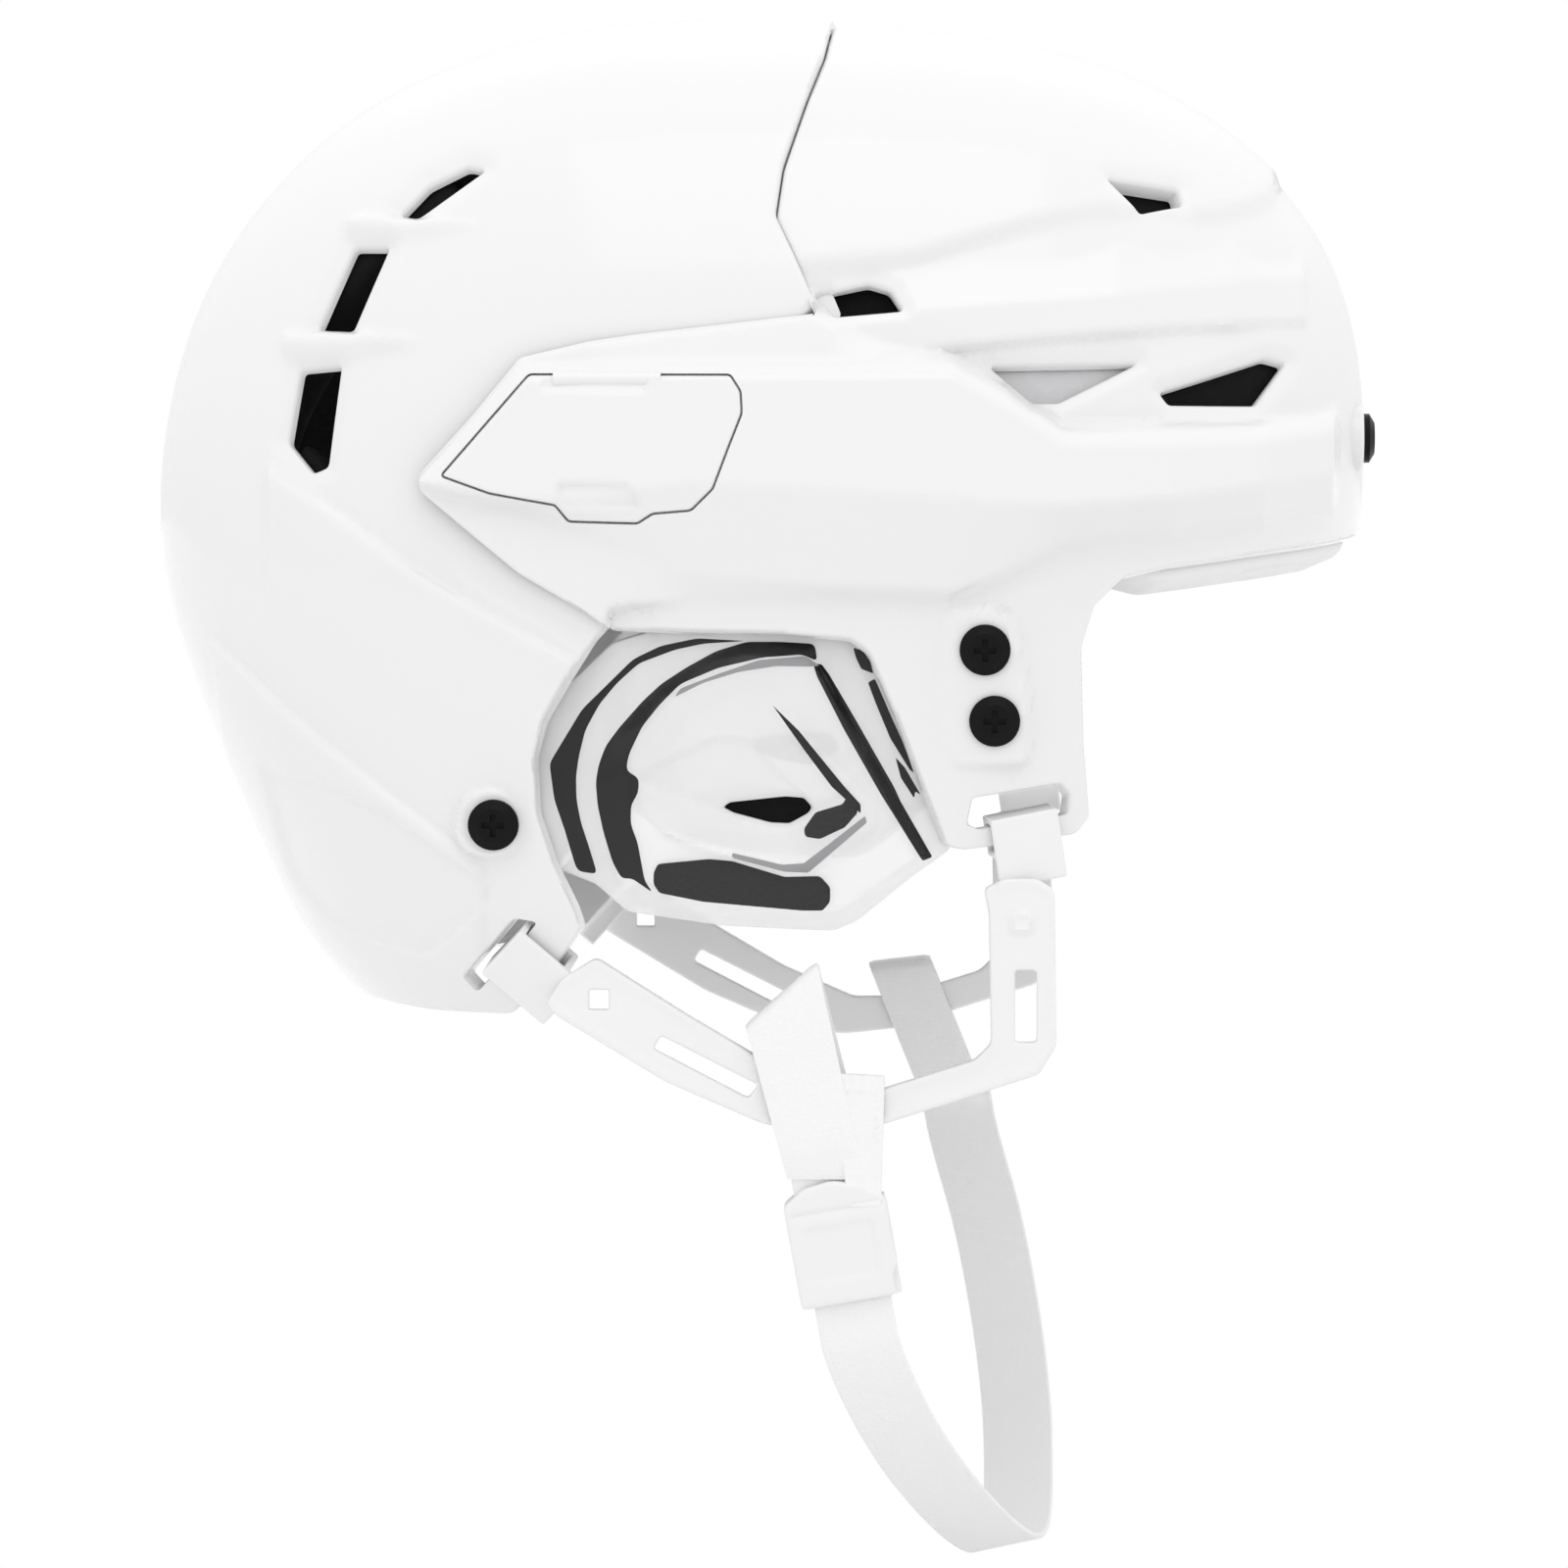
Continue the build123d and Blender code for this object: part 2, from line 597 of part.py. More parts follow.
def lever_pocket():
    """Room for the right lever in its wing, with the window for its pawl."""
    outline = side_face(lever_outline_shares)
    outline = Plane.XZ * offset(Plane.XZ.to_local_coords(outline), lever_gap, kind=Kind.INTERSECTION)
    room = right_of(outline) + right_of(side_face(lever_relief_shares))
    pocket = wing_skin(overrun, lever_wall + lever_gap) & room
    pocket += along_hinge(
        lever_barrel_radius + lever_trough_gap, -lever_lug_gap, hinge_length + 2 * lever_lug_gap
    )
    window = Plane.XZ * offset(
        Plane.XZ.to_local_coords(side_face(pawl_shares)), pawl_gap, kind=Kind.INTERSECTION
    )
    return pocket + between(window, pawl_depths()[0] - pawl_tip_gap / 2, cut_reach)


def make_lever():
    """Right lever: the flap, its hinge barrel and the pawl that holds the rear shell."""
    lever = wing_skin(0, lever_wall) & right_of(side_face(lever_outline_shares))
    lever -= hinge_lugs(lever_barrel_radius + lever_trough_gap, lever_lug_gap)
    lever += along_hinge(lever_barrel_radius, 0, hinge_length)
    tip, root = pawl_depths()
    pawl = between(side_face(pawl_shares), tip, root)
    low, high = place(pawl_shares[0]), place(pawl_shares[2])
    for index in range(pawl_teeth):
        x = low[0] + (high[0] - low[0]) * (index + 1) / (pawl_teeth + 1)
        groove = Box(rack_groove, 2 * rack_depth, overrun)
        pawl -= Pos(x, -tip, (low[1] + high[1]) / 2) * groove
    lever += pawl
    return lever - along_hinge(lever_pin_radius + lever_pin_gap, -overrun, 3 * overrun)


def make_front_shell():
    """Brow, crown front, cheek pieces and side wings, with the tongues that run under the rear shell."""
    shell = fan_solid(front_fan, (0, 0), (-wall, -wall)) & front_region
    tongue_inner = (-tongue_depth - tongue_wall, -tongue_side_depth - tongue_side_wall)
    tongue = fan_solid(tongue_fan, (-tongue_depth, -tongue_side_depth), tongue_inner)
    shell += tongue & tongue_region
    panel = fan_solid(panel_fan, (panel_lift, panel_lift), (-wing_root, -wing_root))
    seam = [(share[0] + seam_gap / side_length, share[1]) for share in seam_shares[4:]]
    shell += panel & across(side_face(panel_edge_shares + seam[::-1]))
    side = loft_of([wing_section(station, False) for station in hood_station_shares])
    side += loft_of([wing_section(station, True) for station in saddle_station_shares])
    side += loft_of([front_wing_section(station) for station in wing_station_shares])
    side += loft_of([ledge_section(station) for station in ledge_station_shares])
    pad = between(side_face(temple_pad_shares, pad_corner), temple_face - 2 * pad_depth, temple_face)
    side += pad - dome(seat_gap)
    side -= lever_pocket()
    side += hinge_lugs(lever_barrel_radius, 0) - along_hinge(
        lever_pin_radius + lever_pin_gap, -overrun, 3 * overrun
    )
    side += Plane(origin=brow_point, z_dir=FORWARD) * Cylinder(
        round_pad_radius, pad_depth, align=(Align.CENTER, Align.CENTER, Align.MAX)
    )
    shell += both(side)
    cuts = hole_at(brow_point, FORWARD, pad_depth)
    for vent in front_vent_shares:
        cuts += right_of(side_face(vent, vent_corner))
    cuts += right_of(side_face(front_slot_shares, slot_corner))
    for point, grip in zip(temple_points, temple_grips):
        cuts += hole_at(point, RIGHT, grip)
        seat = Cylinder(head_radius + seat_rim, pad_depth, align=(Align.CENTER, Align.CENTER, Align.MIN))
        cuts += Plane(origin=point, z_dir=RIGHT) * seat
    return shell - both(cuts)


def make_rear_shell():
    """Crown rear, back and nape, with the grooves that the levers' pawls stand over."""
    outer = (rear_lift, rear_spread)
    shell = fan_solid(rear_fan, outer, (rear_lift - wall, rear_spread - wall)) & rear_region
    pad = Plane(origin=nape_point, z_dir=RIGHT) * Cylinder(
        round_pad_radius, pad_depth, align=(Align.CENTER, Align.CENTER, Align.MAX)
    )
    shell += both(pad)
    cuts = hole_at(nape_point, RIGHT, pad_depth)
    for vent in rear_vent_shares:
        cuts += right_of(side_face(vent, vent_corner))
    cuts += right_of(side_face(rear_slot_shares, slot_corner))
    low, high = [share * crown_height for share in rack_height_shares]
    for index in range(rack_teeth):
        x = rack_start_share * side_length + index * rack_pitch
        height = (low + high) / 2
        groove = Box(rack_groove, 2 * rack_depth, high - low)
        cuts += Pos(x, -side_y(x, height, *outer), height) * groove
    return shell - both(cuts)


def make_guard():
    """Right ear guard: a domed flange with an arched bulge, a diamond recess and a sound slot."""
    flange = right_of(side_face(guard_outline_shares))
    arch = side_face(guard_arch_shares)
    arch_base = half_width - wall - guard_gap - guard_step
    bulge = Pos(0, -arch_base, 0) * extrude(arch, amount=overrun, taper=guard_taper)
    inner_bulge = Pos(0, guard_wall - arch_base, 0) * extrude(arch, amount=overrun, taper=guard_taper)
    outer = (flange & dome(0)) + (bulge & dome(guard_step))
    inner = (flange & dome(-guard_wall)) + (inner_bulge & dome(guard_step - guard_wall))
    guard = outer - inner
    face = half_width - wall - guard_gap + guard_step
    guard -= between(side_face(guard_diamond_shares), face - diamond_depth, cut_reach)
    guard -= between(side_face(guard_pill_shares, slot_corner), face - pill_depth, cut_reach)
    guard -= right_of(side_face(guard_slot_shares, slot_corner))
    for point, grip in zip(temple_points, temple_grips):
        guard -= hole_at(point, RIGHT, grip)
    return guard


def fold_at(bar_shares, lift, spread, gap):
    """Moulded band that goes round the bar between a slot and the shell's edge."""
    (x_slot, z_slot), (x_edge, z_edge) = place(bar_shares[0]), place(bar_shares[1])
    frame = shell_plane(bar_shares[0], bar_shares[1], lift, spread)
    bar = math.hypot(x_edge - x_slot, z_edge - z_slot)
    start = (Align.MIN, Align.CENTER, Align.MAX)
    margin = gap + fold_wall
    ring = Box(bar + 2 * margin, fold_width, wall + 2 * margin, align=start)
    ring = Pos(-margin, 0, margin) * fillet(ring.edges().filter_by(Axis.Y), fold_round)
    ring -= Pos(-gap, 0, gap) * Box(bar + 2 * gap, overrun, wall + 2 * gap, align=start)
    return frame * (ring + Pos(bar, 0, margin) * Box(fold_tail, fold_width, fold_wall, align=start))


def make_loop():
    """Right ear loop: the moulded strap below the ear, with both its folded ends."""
    loop = between(side_face(loop_outline_shares), loop_plane - loop_wall, loop_plane)
    for cut in loop_cut_shares:
        loop -= right_of(side_face(cut, slot_corner))
    x, z = place(loop_hole_share)
    loop -= Pos(x, -loop_plane, z) * Box(loop_hole_side, 2 * loop_wall, loop_hole_side)
    x, z = place(loop_peg_share)
    loop += Pos(x, -loop_plane, z) * Box(loop_hole_side, 2 * peg_height, loop_hole_side)
    loop += fold_at(front_bar_shares, 0, 0, fold_gap)
    return loop + fold_at(rear_bar_shares, rear_lift, rear_spread, rear_fold_gap)


def make_pad(span, lift, spread):
    """Foam pad between two fan angles and two arch turns, under a lift and a spread."""
    inner = (lift - liner_depth, spread - liner_depth)
    return fan_solid(span[:2], (lift, spread), inner, span[2:])


def make_brow_pad():
    """Foam pad behind the brow, cut along the face edge, with room for the nuts."""
    lift = -wall - liner_gap
    pad = make_pad(brow_pad_range, lift, lift) & across(side_face(brow_pad_outline_shares))
    pocket = Cylinder(round_pad_radius + nut_gap, overrun, align=(Align.CENTER, Align.CENTER, Align.MIN))
    pocket = Pos(0, 0, -pad_depth - flange_height - thread_end - nut_gap) * pocket
    return pad - both(Plane(origin=brow_point, z_dir=FORWARD) * pocket)


def make_screws(points, direction, grips):
    """Screws of the right side, mirrored to the left."""
    screws = Part()
    for point, grip in zip(points, grips):
        screws += screw_at(point, direction, grip + flange_height + thread_end)
    return both(screws)


def make_nuts(points, direction, grips):
    """Barrel nuts of the right side, mirrored to the left."""
    nuts = Part()
    for point, grip in zip(points, grips):
        nuts += nut_at(point, direction, grip + hole_gap, grip - hole_gap)
    return both(nuts)


def make_lever_pins():
    start = -lever_lug_gap - lever_lug
    return both(along_hinge(lever_pin_radius, start, hinge_length - 2 * start))


def strap_frames():
    """Centre, width direction and normal of the webbing at each point of its route."""
    points = [Vector(*point) for point in strap_route]
    frames = []
    for index, point in enumerate(points):
        before = points[max(0, index - 1)]
        after = points[min(len(points) - 1, index + 1)]
        run = (after - before).normalized()
        lean = Vector(1, 0, webbing_lean)
        width = (lean - run * lean.dot(run)).normalized()
        frames.append((point, width, run.cross(width)))
    point, width, normal = frames[1]
    frames[1] = (point, frames[0][1], frames[0][2])
    return frames


def webbing_section(frame):
    point, width, normal = frame
    half = width * (webbing_width / 2)
    rise = normal * (webbing_thickness / 2)
    corners = [point + half + rise, point - half + rise, point - half - rise, point + half - rise]
    return Wire(Polyline(*corners, close=True).edges())


def taper(half_depth, foot_half_depth, shares):
    """Prism across the strap's end that narrows to the webbing below the ear loop."""
    start, foot = [share * crown_height for share in shares]
    middle = loop_plane - loop_wall / 2
    side = [(half_depth, crown_height), (half_depth, start), (foot_half_depth, foot)]
    side.append((foot_half_depth, -crown_height))
    points = [(middle + depth, height) for depth, height in side]
    points += [(middle - depth, height) for depth, height in reversed(side)]
    outline = make_face(Polyline(*[(-y, z) for y, z in points], close=True))
    return extrude(Plane.YZ * outline, amount=cut_reach, both=True)


def strap_end(outline_shares, hollow_shares, taper_shares):
    """Loop of webbing round an ear loop, on the right side."""
    inner = loop_wall / 2 + loop_slack
    outer = inner + webbing_thickness
    end = right_of(side_face(outline_shares)) & taper(outer, webbing_thickness, taper_shares)
    return end - (right_of(side_face(hollow_shares)) & taper(inner, layer_gap, taper_shares))


def make_strap():
    """Chin strap from ear loop to ear loop, both its ends closed round them."""
    sections = [webbing_section(frame) for frame in strap_frames()]
    strap = Part()
    for start, end in zip(sections, sections[1:]):
        strap += loft_of([start, end])
    near = strap_end(near_end_shares, near_hollow_shares, near_taper_shares)
    near -= between(side_face(near_tab_shares), loop_plane - loop_wall / 2, cut_reach)
    far = strap_end(far_end_shares, far_hollow_shares, far_taper_shares)
    return strap + near + mirror(far, about=Plane.XZ)


def make_adjuster():
    """Slide adjuster that the webbing runs through."""
    start, end = Vector(*strap_route[0]), Vector(*strap_route[1])
    point, width, normal = strap_frames()[0]
    outward = normal if normal.Y < 0 else -normal
    plane = Plane(origin=start + (end - start) * adjuster_middle_share, x_dir=width, z_dir=outward)
    outline = [(x * adjuster_width, y * adjuster_height) for x, y in adjuster_outline_shares]
    body = extrude(make_face(Polyline(*outline, close=True)), amount=adjuster_depth / 2, both=True)
    body = chamfer(body.edges().group_by(Axis.Z)[-1], adjuster_edge)
    recess = Box(adjuster_recess_share * adjuster_width, adjuster_recess_height, 2 * adjuster_recess_depth)
    body -= Pos(0, 0, adjuster_depth / 2) * recess
    slot_depth = webbing_thickness + 2 * adjuster_gap
    body -= Box(webbing_width + 2 * adjuster_gap, 2 * adjuster_height, slot_depth)
    return plane * body


pieces = {
    "front_shell": make_front_shell(),
    "rear_shell": make_rear_shell(),
    "right_ear_guard": make_guard(),
    "right_ear_loop": make_loop(),
    "right_lever": make_lever(),
    "lever_pins": make_lever_pins(),
    "temple_screws": make_screws(temple_points, RIGHT, temple_grips),
    "temple_nuts": make_nuts(temple_points, RIGHT, temple_grips),
    "nape_screws": make_screws([nape_point], RIGHT, [pad_depth]),
    "nape_nuts": make_nuts([nape_point], RIGHT, [pad_depth]),
    "brow_screws": make_screws([brow_point], FORWARD, [pad_depth]),
    "brow_nuts": make_nuts([brow_point], FORWARD, [pad_depth]),
    "brow_pad": make_brow_pad(),
    "chin_strap": make_strap(),
    "strap_adjuster": make_adjuster(),
}
for name in ("ear_guard", "ear_loop", "lever"):
    pieces["left_" + name] = mirror(pieces["right_" + name], about=Plane.XZ)
for name, span in front_pads.items():
    pieces[name] = make_pad(span, tongue_clear_lift, tongue_clear_spread)
for name, span in rear_pads.items():
    pieces[name] = make_pad(span, rear_lift - wall - liner_gap, rear_spread - wall - liner_gap)

for name, piece in pieces.items():
    export_step(piece, f"parts/{name}.step")
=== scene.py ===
import math

import bpy
import numpy as np
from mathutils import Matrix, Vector
from mathutils.geometry import delaunay_2d_cdt


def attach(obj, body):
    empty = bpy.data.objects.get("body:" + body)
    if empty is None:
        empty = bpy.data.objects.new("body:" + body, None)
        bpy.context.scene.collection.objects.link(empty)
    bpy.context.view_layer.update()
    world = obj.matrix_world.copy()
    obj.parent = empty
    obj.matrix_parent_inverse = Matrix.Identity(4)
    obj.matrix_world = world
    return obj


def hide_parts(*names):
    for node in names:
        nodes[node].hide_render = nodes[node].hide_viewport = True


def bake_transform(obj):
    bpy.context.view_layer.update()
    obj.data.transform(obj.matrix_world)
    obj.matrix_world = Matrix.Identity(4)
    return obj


# Ice hockey helmet: the moulded, clear, woven and foam pieces in full detail over the CAD frame.
# Lengths are in millimetres until a mesh is built. +X is forward, +Y the wearer's left, +Z up.
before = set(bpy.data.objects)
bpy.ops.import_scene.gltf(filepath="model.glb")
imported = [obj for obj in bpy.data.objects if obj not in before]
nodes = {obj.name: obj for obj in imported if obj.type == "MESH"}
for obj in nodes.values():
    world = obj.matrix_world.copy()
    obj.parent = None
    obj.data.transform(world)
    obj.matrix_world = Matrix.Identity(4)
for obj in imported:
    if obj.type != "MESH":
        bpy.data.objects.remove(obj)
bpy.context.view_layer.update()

MM = 0.001
SIDE_LENGTH = 284.0
CROWN_HEIGHT = 184.0
HALF_WIDTH = 98.0
POWER = 2.6
ARCH = 2 / POWER
WALL = 3.2
REAR_LIFT = 3.0
REAR_SPREAD = 1.6
SEAM_GAP = 0.3
TRAVEL = 12.0
HOOD_WALL = 2.0
RUN_GAP = 0.6

# The photograph's camera: its height and turn round the object, and the picture points it is laid out by
AZIMUTH = 2.0
ELEVATION = 4.5
DISTANCE = 1600.0
PICTURE = 1600.0
MM_PER_POINT = 0.2334
ORIGIN_POINT = (748.0, 830.0)
CLOSEUP_CORNER = (539.0, 627.0)
CLOSEUP_SCALE = 3.36

# Shares of the side length along X and of the crown height along Z
PROFILE = [
    (0.421, -0.165), (0.487, 0.013), (0.510, 0.165), (0.513, 0.292), (0.523, 0.419), (0.523, 0.545),
    (0.513, 0.647), (0.492, 0.733), (0.454, 0.812), (0.380, 0.903), (0.289, 0.964), (0.207, 0.987),
    (0.067, 1.001), (-0.039, 1.002), (-0.122, 0.993), (-0.187, 0.969), (-0.245, 0.936), (-0.294, 0.898),
    (-0.339, 0.847), (-0.393, 0.755), (-0.430, 0.660), (-0.453, 0.552), (-0.464, 0.444), (-0.464, 0.349),
    (-0.454, 0.260), (-0.434, 0.178), (-0.405, 0.070), (-0.376, -0.036), (-0.348, -0.127), (-0.311, -0.197),
    (-0.220, -0.292), (-0.105, -0.381),
]
SEAM = [
    (-0.083, 0.269), (-0.060, 0.420), (0.030, 0.580), (0.078, 0.650), (0.062, 0.707), (0.045, 0.760),
    (0.050, 0.820), (0.067, 0.903), (0.080, 0.960), (0.094, 1.100),
]
# Which of the seam's points is its corner over the wing
SEAM_CORNER = 3
FACE_EDGE = [
    (0.600, 0.366), (0.510, 0.366), (0.443, 0.357), (0.363, 0.343), (0.324, 0.331), (0.300, 0.296),
    (0.290, 0.246), (0.292, 0.127), (0.297, 0.036), (0.286, 0.015), (0.240, 0.006), (0.198, -0.002),
    (0.183, 0.003), (0.163, 0.082), (0.144, 0.160), (0.122, 0.239), (0.108, 0.256), (0.055, 0.263),
    (-0.021, 0.265),
]
NAPE_EDGE = [
    (-0.093, 0.253), (-0.111, 0.209), (-0.132, 0.154), (-0.140, 0.109), (-0.138, 0.043), (-0.125, -0.017),
    (-0.108, -0.071), (-0.103, -0.095), (-0.125, -0.146), (-0.159, -0.206), (-0.226, -0.210),
    (-0.292, -0.206), (-0.370, -0.200), (-0.600, -0.200),
]
HOOD_TOP = [
    (-0.021, 0.632), (-0.066, 0.624), (-0.100, 0.616), (-0.155, 0.596), (-0.192, 0.526), (-0.234, 0.454),
]
HOOD_LOW = [(-0.234, 0.436), (-0.192, 0.383), (-0.155, 0.337), (-0.100, 0.288)]
PANEL_EDGE = [
    (0.064, 0.700), (0.150, 0.712), (0.250, 0.757), (0.300, 0.772), (0.395, 0.765), (0.440, 0.785),
    (0.480, 0.900), (0.480, 1.200), (-0.100, 1.200), (-0.100, 0.720), (0.020, 0.700),
]
# Stations of the wing and the ledge: x, and the heights of the lines that run along them
WING = [
    (-0.234, 0.436, 0.439, 0.445, 0.450, 0.452, 0.454),
    (-0.192, 0.383, 0.420, 0.433, 0.500, 0.521, 0.526),
    (-0.155, 0.337, 0.413, 0.425, 0.568, 0.588, 0.596),
    (-0.100, 0.288, 0.378, 0.425, 0.572, 0.589, 0.616),
    (-0.066, 0.300, 0.358, 0.436, 0.573, 0.590, 0.624),
    (-0.021, 0.300, 0.337, 0.447, 0.574, 0.591, 0.632),
    (0.092, 0.304, 0.322, 0.439, 0.575, 0.592, 0.648),
    (0.140, 0.301, 0.319, 0.434, 0.576, 0.592, 0.625),
    (0.186, 0.298, 0.316, 0.428, 0.576, 0.593, 0.600),
    (0.232, 0.325, 0.343, 0.422, 0.535, 0.555, 0.562),
    (0.276, 0.362, 0.378, 0.420, 0.492, 0.510, 0.517),
    (0.363, 0.374, 0.390, 0.427, 0.492, 0.511, 0.518),
    (0.434, 0.386, 0.402, 0.440, 0.494, 0.512, 0.520),
    (0.495, 0.398, 0.414, 0.448, 0.504, 0.522, 0.530),
]
WING_LIFTS = (0.6, 4.0, 10.5, 9.0, 5.5, 0.6)
FORM_OVERRUN = 4.0
FLANK_WIDTH = 1.6
FLANK_SLOPE = 2.0
HOOD_STATIONS = 5
SADDLE_STATIONS = 7
LEDGE = [
    (0.092, 0.598, 0.650, 0.690), (0.200, 0.612, 0.660, 0.715), (0.320, 0.628, 0.674, 0.735),
    (0.410, 0.636, 0.690, 0.748), (0.470, 0.640, 0.694, 0.744),
]
LEDGE_LIFTS = (3.0, 4.0, 0.2)
LEVER = [
    (-0.214, 0.454), (-0.146, 0.575), (0.012, 0.575), (0.020, 0.556), (0.021, 0.530), (0.011, 0.490),
    (-0.001, 0.440), (-0.018, 0.414), (-0.048, 0.410), (-0.060, 0.398), (-0.114, 0.400), (-0.124, 0.420),
    (-0.176, 0.434),
]
FRONT_VENTS = [
    [(0.078, 0.676), (0.121, 0.690), (0.138, 0.682), (0.148, 0.658), (0.094, 0.651)],
    [(0.309, 0.812), (0.365, 0.799), (0.368, 0.780), (0.335, 0.772)],
    [(0.218, 0.588), (0.333, 0.591), (0.272, 0.545), (0.252, 0.545)],
    [(0.353, 0.556), (0.440, 0.597), (0.455, 0.590), (0.430, 0.540), (0.360, 0.542)],
]
REAR_VENTS = [
    [(-0.254, 0.763), (-0.233, 0.798), (-0.202, 0.822), (-0.188, 0.818), (-0.240, 0.760)],
    [(-0.318, 0.624), (-0.291, 0.723), (-0.263, 0.723), (-0.290, 0.622)],
    [(-0.341, 0.486), (-0.332, 0.574), (-0.299, 0.579), (-0.308, 0.458), (-0.320, 0.450)],
]
FRONT_SLOT = [(0.200, 0.030), (0.204, 0.062), (0.272, 0.078), (0.280, 0.064), (0.278, 0.040), (0.208, 0.024)]
REAR_SLOT = [(-0.186, -0.178), (-0.196, -0.160), (-0.155, -0.086), (-0.138, -0.090)]
TEMPLE_PAD = [(0.180, 0.292), (0.232, 0.292), (0.247, 0.190), (0.247, 0.100), (0.186, 0.100), (0.180, 0.190)]
TEMPLE_PAD_ROUND = 5
TEMPLE_FACE = 95.98
NAPE_SCREW = (-0.1746, 0.029)
SCREW_PAD_RADIUS = 7.6
SCREW_PAD_RISE = 1.8


def bell(half, step, sigma):
    """Blur weights on an even grid, adding up to 1."""
    weights = np.exp(-0.5 * (np.arange(-half, half + 1) * step / sigma) ** 2)
    return weights / weights.sum()


def mm(shares):
    """Side view points in millimetres."""
    return np.array(shares, float) * (SIDE_LENGTH, CROWN_HEIGHT)


def fan_angle(x, z):
    """Angle of a side view point round the ear axis, from -90 to 270 degrees."""
    angle = np.degrees(np.arctan2(z, x))
    return np.where(angle < -90, angle + 360, angle)


# Plain surface: a superellipse arch in every fan plane about the ear axis
PROFILE_MM = mm(PROFILE)
PROFILE_ANGLES = fan_angle(*PROFILE_MM.T)
FAN_STEP = 0.5
FAN = np.arange(-40.0, 262.0, FAN_STEP)
EASE = 16
FAN_BLUR = 2.6
PROFILE_REACH = np.interp(FAN, PROFILE_ANGLES, np.hypot(PROFILE_MM[:, 0], PROFILE_MM[:, 1]))
REACH = np.convolve(
    np.pad(PROFILE_REACH, EASE, mode="edge"), bell(EASE, FAN_STEP, FAN_BLUR), mode="valid"
)


def reach(angle):
    """Distance from the ear axis to the profile at a fan angle."""
    return np.interp(angle, FAN, REACH)


def fan_share(x, z, lift=0.0):
    """Distance of a side view point from the ear axis, as a share of the surface's."""
    return np.hypot(x, z) / (reach(fan_angle(x, z)) + lift)


def side_y(x, z, lift=0.0, spread=0.0):
    """Distance of the surface from the symmetry plane at a side view point."""
    share = fan_share(x, z, lift)
    return (HALF_WIDTH + spread) * np.maximum(0, 1 - share ** POWER) ** (1 / POWER)


def rear_cover(x, z):
    """Least distance of a cover that the sliding rear shell never touches."""
    places = [side_y(x + TRAVEL * step, z, REAR_LIFT, REAR_SPREAD) for step in (0, 0.5, 1)]
    return np.maximum.reduce(places) + RUN_GAP


# The surface unrolled: along the fan, and along the arch from the middle line outwards
PER_DEGREE = 2.6
ARCH_HEIGHT = 165.0
TURN_COUNT = 4001
TURN_BUNCHING = 2.2
TURN_SHARES = np.linspace(0, 1, TURN_COUNT) ** TURN_BUNCHING
TURNS = np.unique(np.concatenate([TURN_SHARES, 1 - TURN_SHARES])) * np.pi / 2
ARCH_RUN = np.hypot(
    np.diff(ARCH_HEIGHT * np.cos(TURNS) ** ARCH), np.diff(HALF_WIDTH * np.sin(TURNS) ** ARCH)
)
ARC = np.concatenate([[0], np.cumsum(ARCH_RUN)])


def to_domain(points):
    """Side view points on the unrolled surface of the right side."""
    share = np.clip(fan_share(*points.T), 0, 1)
    turn = np.arccos(share ** (1 / ARCH))
    return np.stack([fan_angle(*points.T) * PER_DEGREE, np.interp(turn, TURNS, ARC)], 1)


def from_domain(uv, lift, spread):
    """Points of the surface, lifted off the plain one, and the right side where v is positive."""
    angle = uv[:, 0] / PER_DEGREE
    turn = np.interp(np.abs(uv[:, 1]), ARC, TURNS)
    radial = (reach(angle) + lift) * np.cos(turn) ** ARCH
    side = (HALF_WIDTH + spread) * np.sin(turn) ** ARCH
    angle = np.radians(angle)
    return np.stack([radial * np.cos(angle), -np.sign(uv[:, 1]) * side, radial * np.sin(angle)], 1)


# Camera axes, and the side view point that a picture point shows at a distance from the middle
TURN, RISE = math.radians(AZIMUTH), math.radians(ELEVATION)
FORWARD = np.array([-math.sin(TURN) * math.cos(RISE), math.cos(TURN) * math.cos(RISE), -math.sin(RISE)])
RIGHTWARD = np.array([math.cos(TURN), math.sin(TURN), 0.0])
UPWARD = np.cross(RIGHTWARD, FORWARD)
HALF_PICTURE = PICTURE / 2
AIM = np.array([HALF_PICTURE - ORIGIN_POINT[0], 0.0, ORIGIN_POINT[1] - HALF_PICTURE]) * MM_PER_POINT
EYE = AIM - DISTANCE * FORWARD


def seen(points, depth):
    """Side view points that picture points show on a plane at a distance to the right of the middle."""
    points = (np.asarray(points, float) - HALF_PICTURE) * MM_PER_POINT / DISTANCE
    rays = FORWARD + points[:, :1] * RIGHTWARD - points[:, 1:] * UPWARD
    hits = EYE + rays * ((-depth - EYE[1]) / rays[:, 1])[:, None]
    return hits[:, [0, 2]]


# Outlines
def dense(points, step, closed=True):
    """Outline with points about a step apart on its edges."""
    points = np.asarray(points, float)
    ends = np.roll(points, -1, 0) if closed else points[1:]
    out = []
    for start, end in zip(points, ends):
        count = max(1, int(round(np.linalg.norm(end - start) / step)))
        out.append(start + (end - start) * (np.arange(count) / count)[:, None])
    if not closed:
        out.append(points[-1:])
    return np.concatenate(out)


def rounded(points, radius, step=0.7, closed=True):
    """Outline with its corners eased over about a radius."""
    line = dense(points, step, closed)
    half = max(1, int(round(radius / step)))
    kernel = np.hanning(2 * half + 3)[1:-1]
    kernel /= kernel.sum()
    if closed:
        padded = np.concatenate([line[-half:], line, line[:half]])
    else:
        padded = np.concatenate([np.repeat(line[:1], half, 0), line, np.repeat(line[-1:], half, 0)])
    return np.stack([np.convolve(padded[:, k], kernel, mode="valid") for k in (0, 1)], 1)


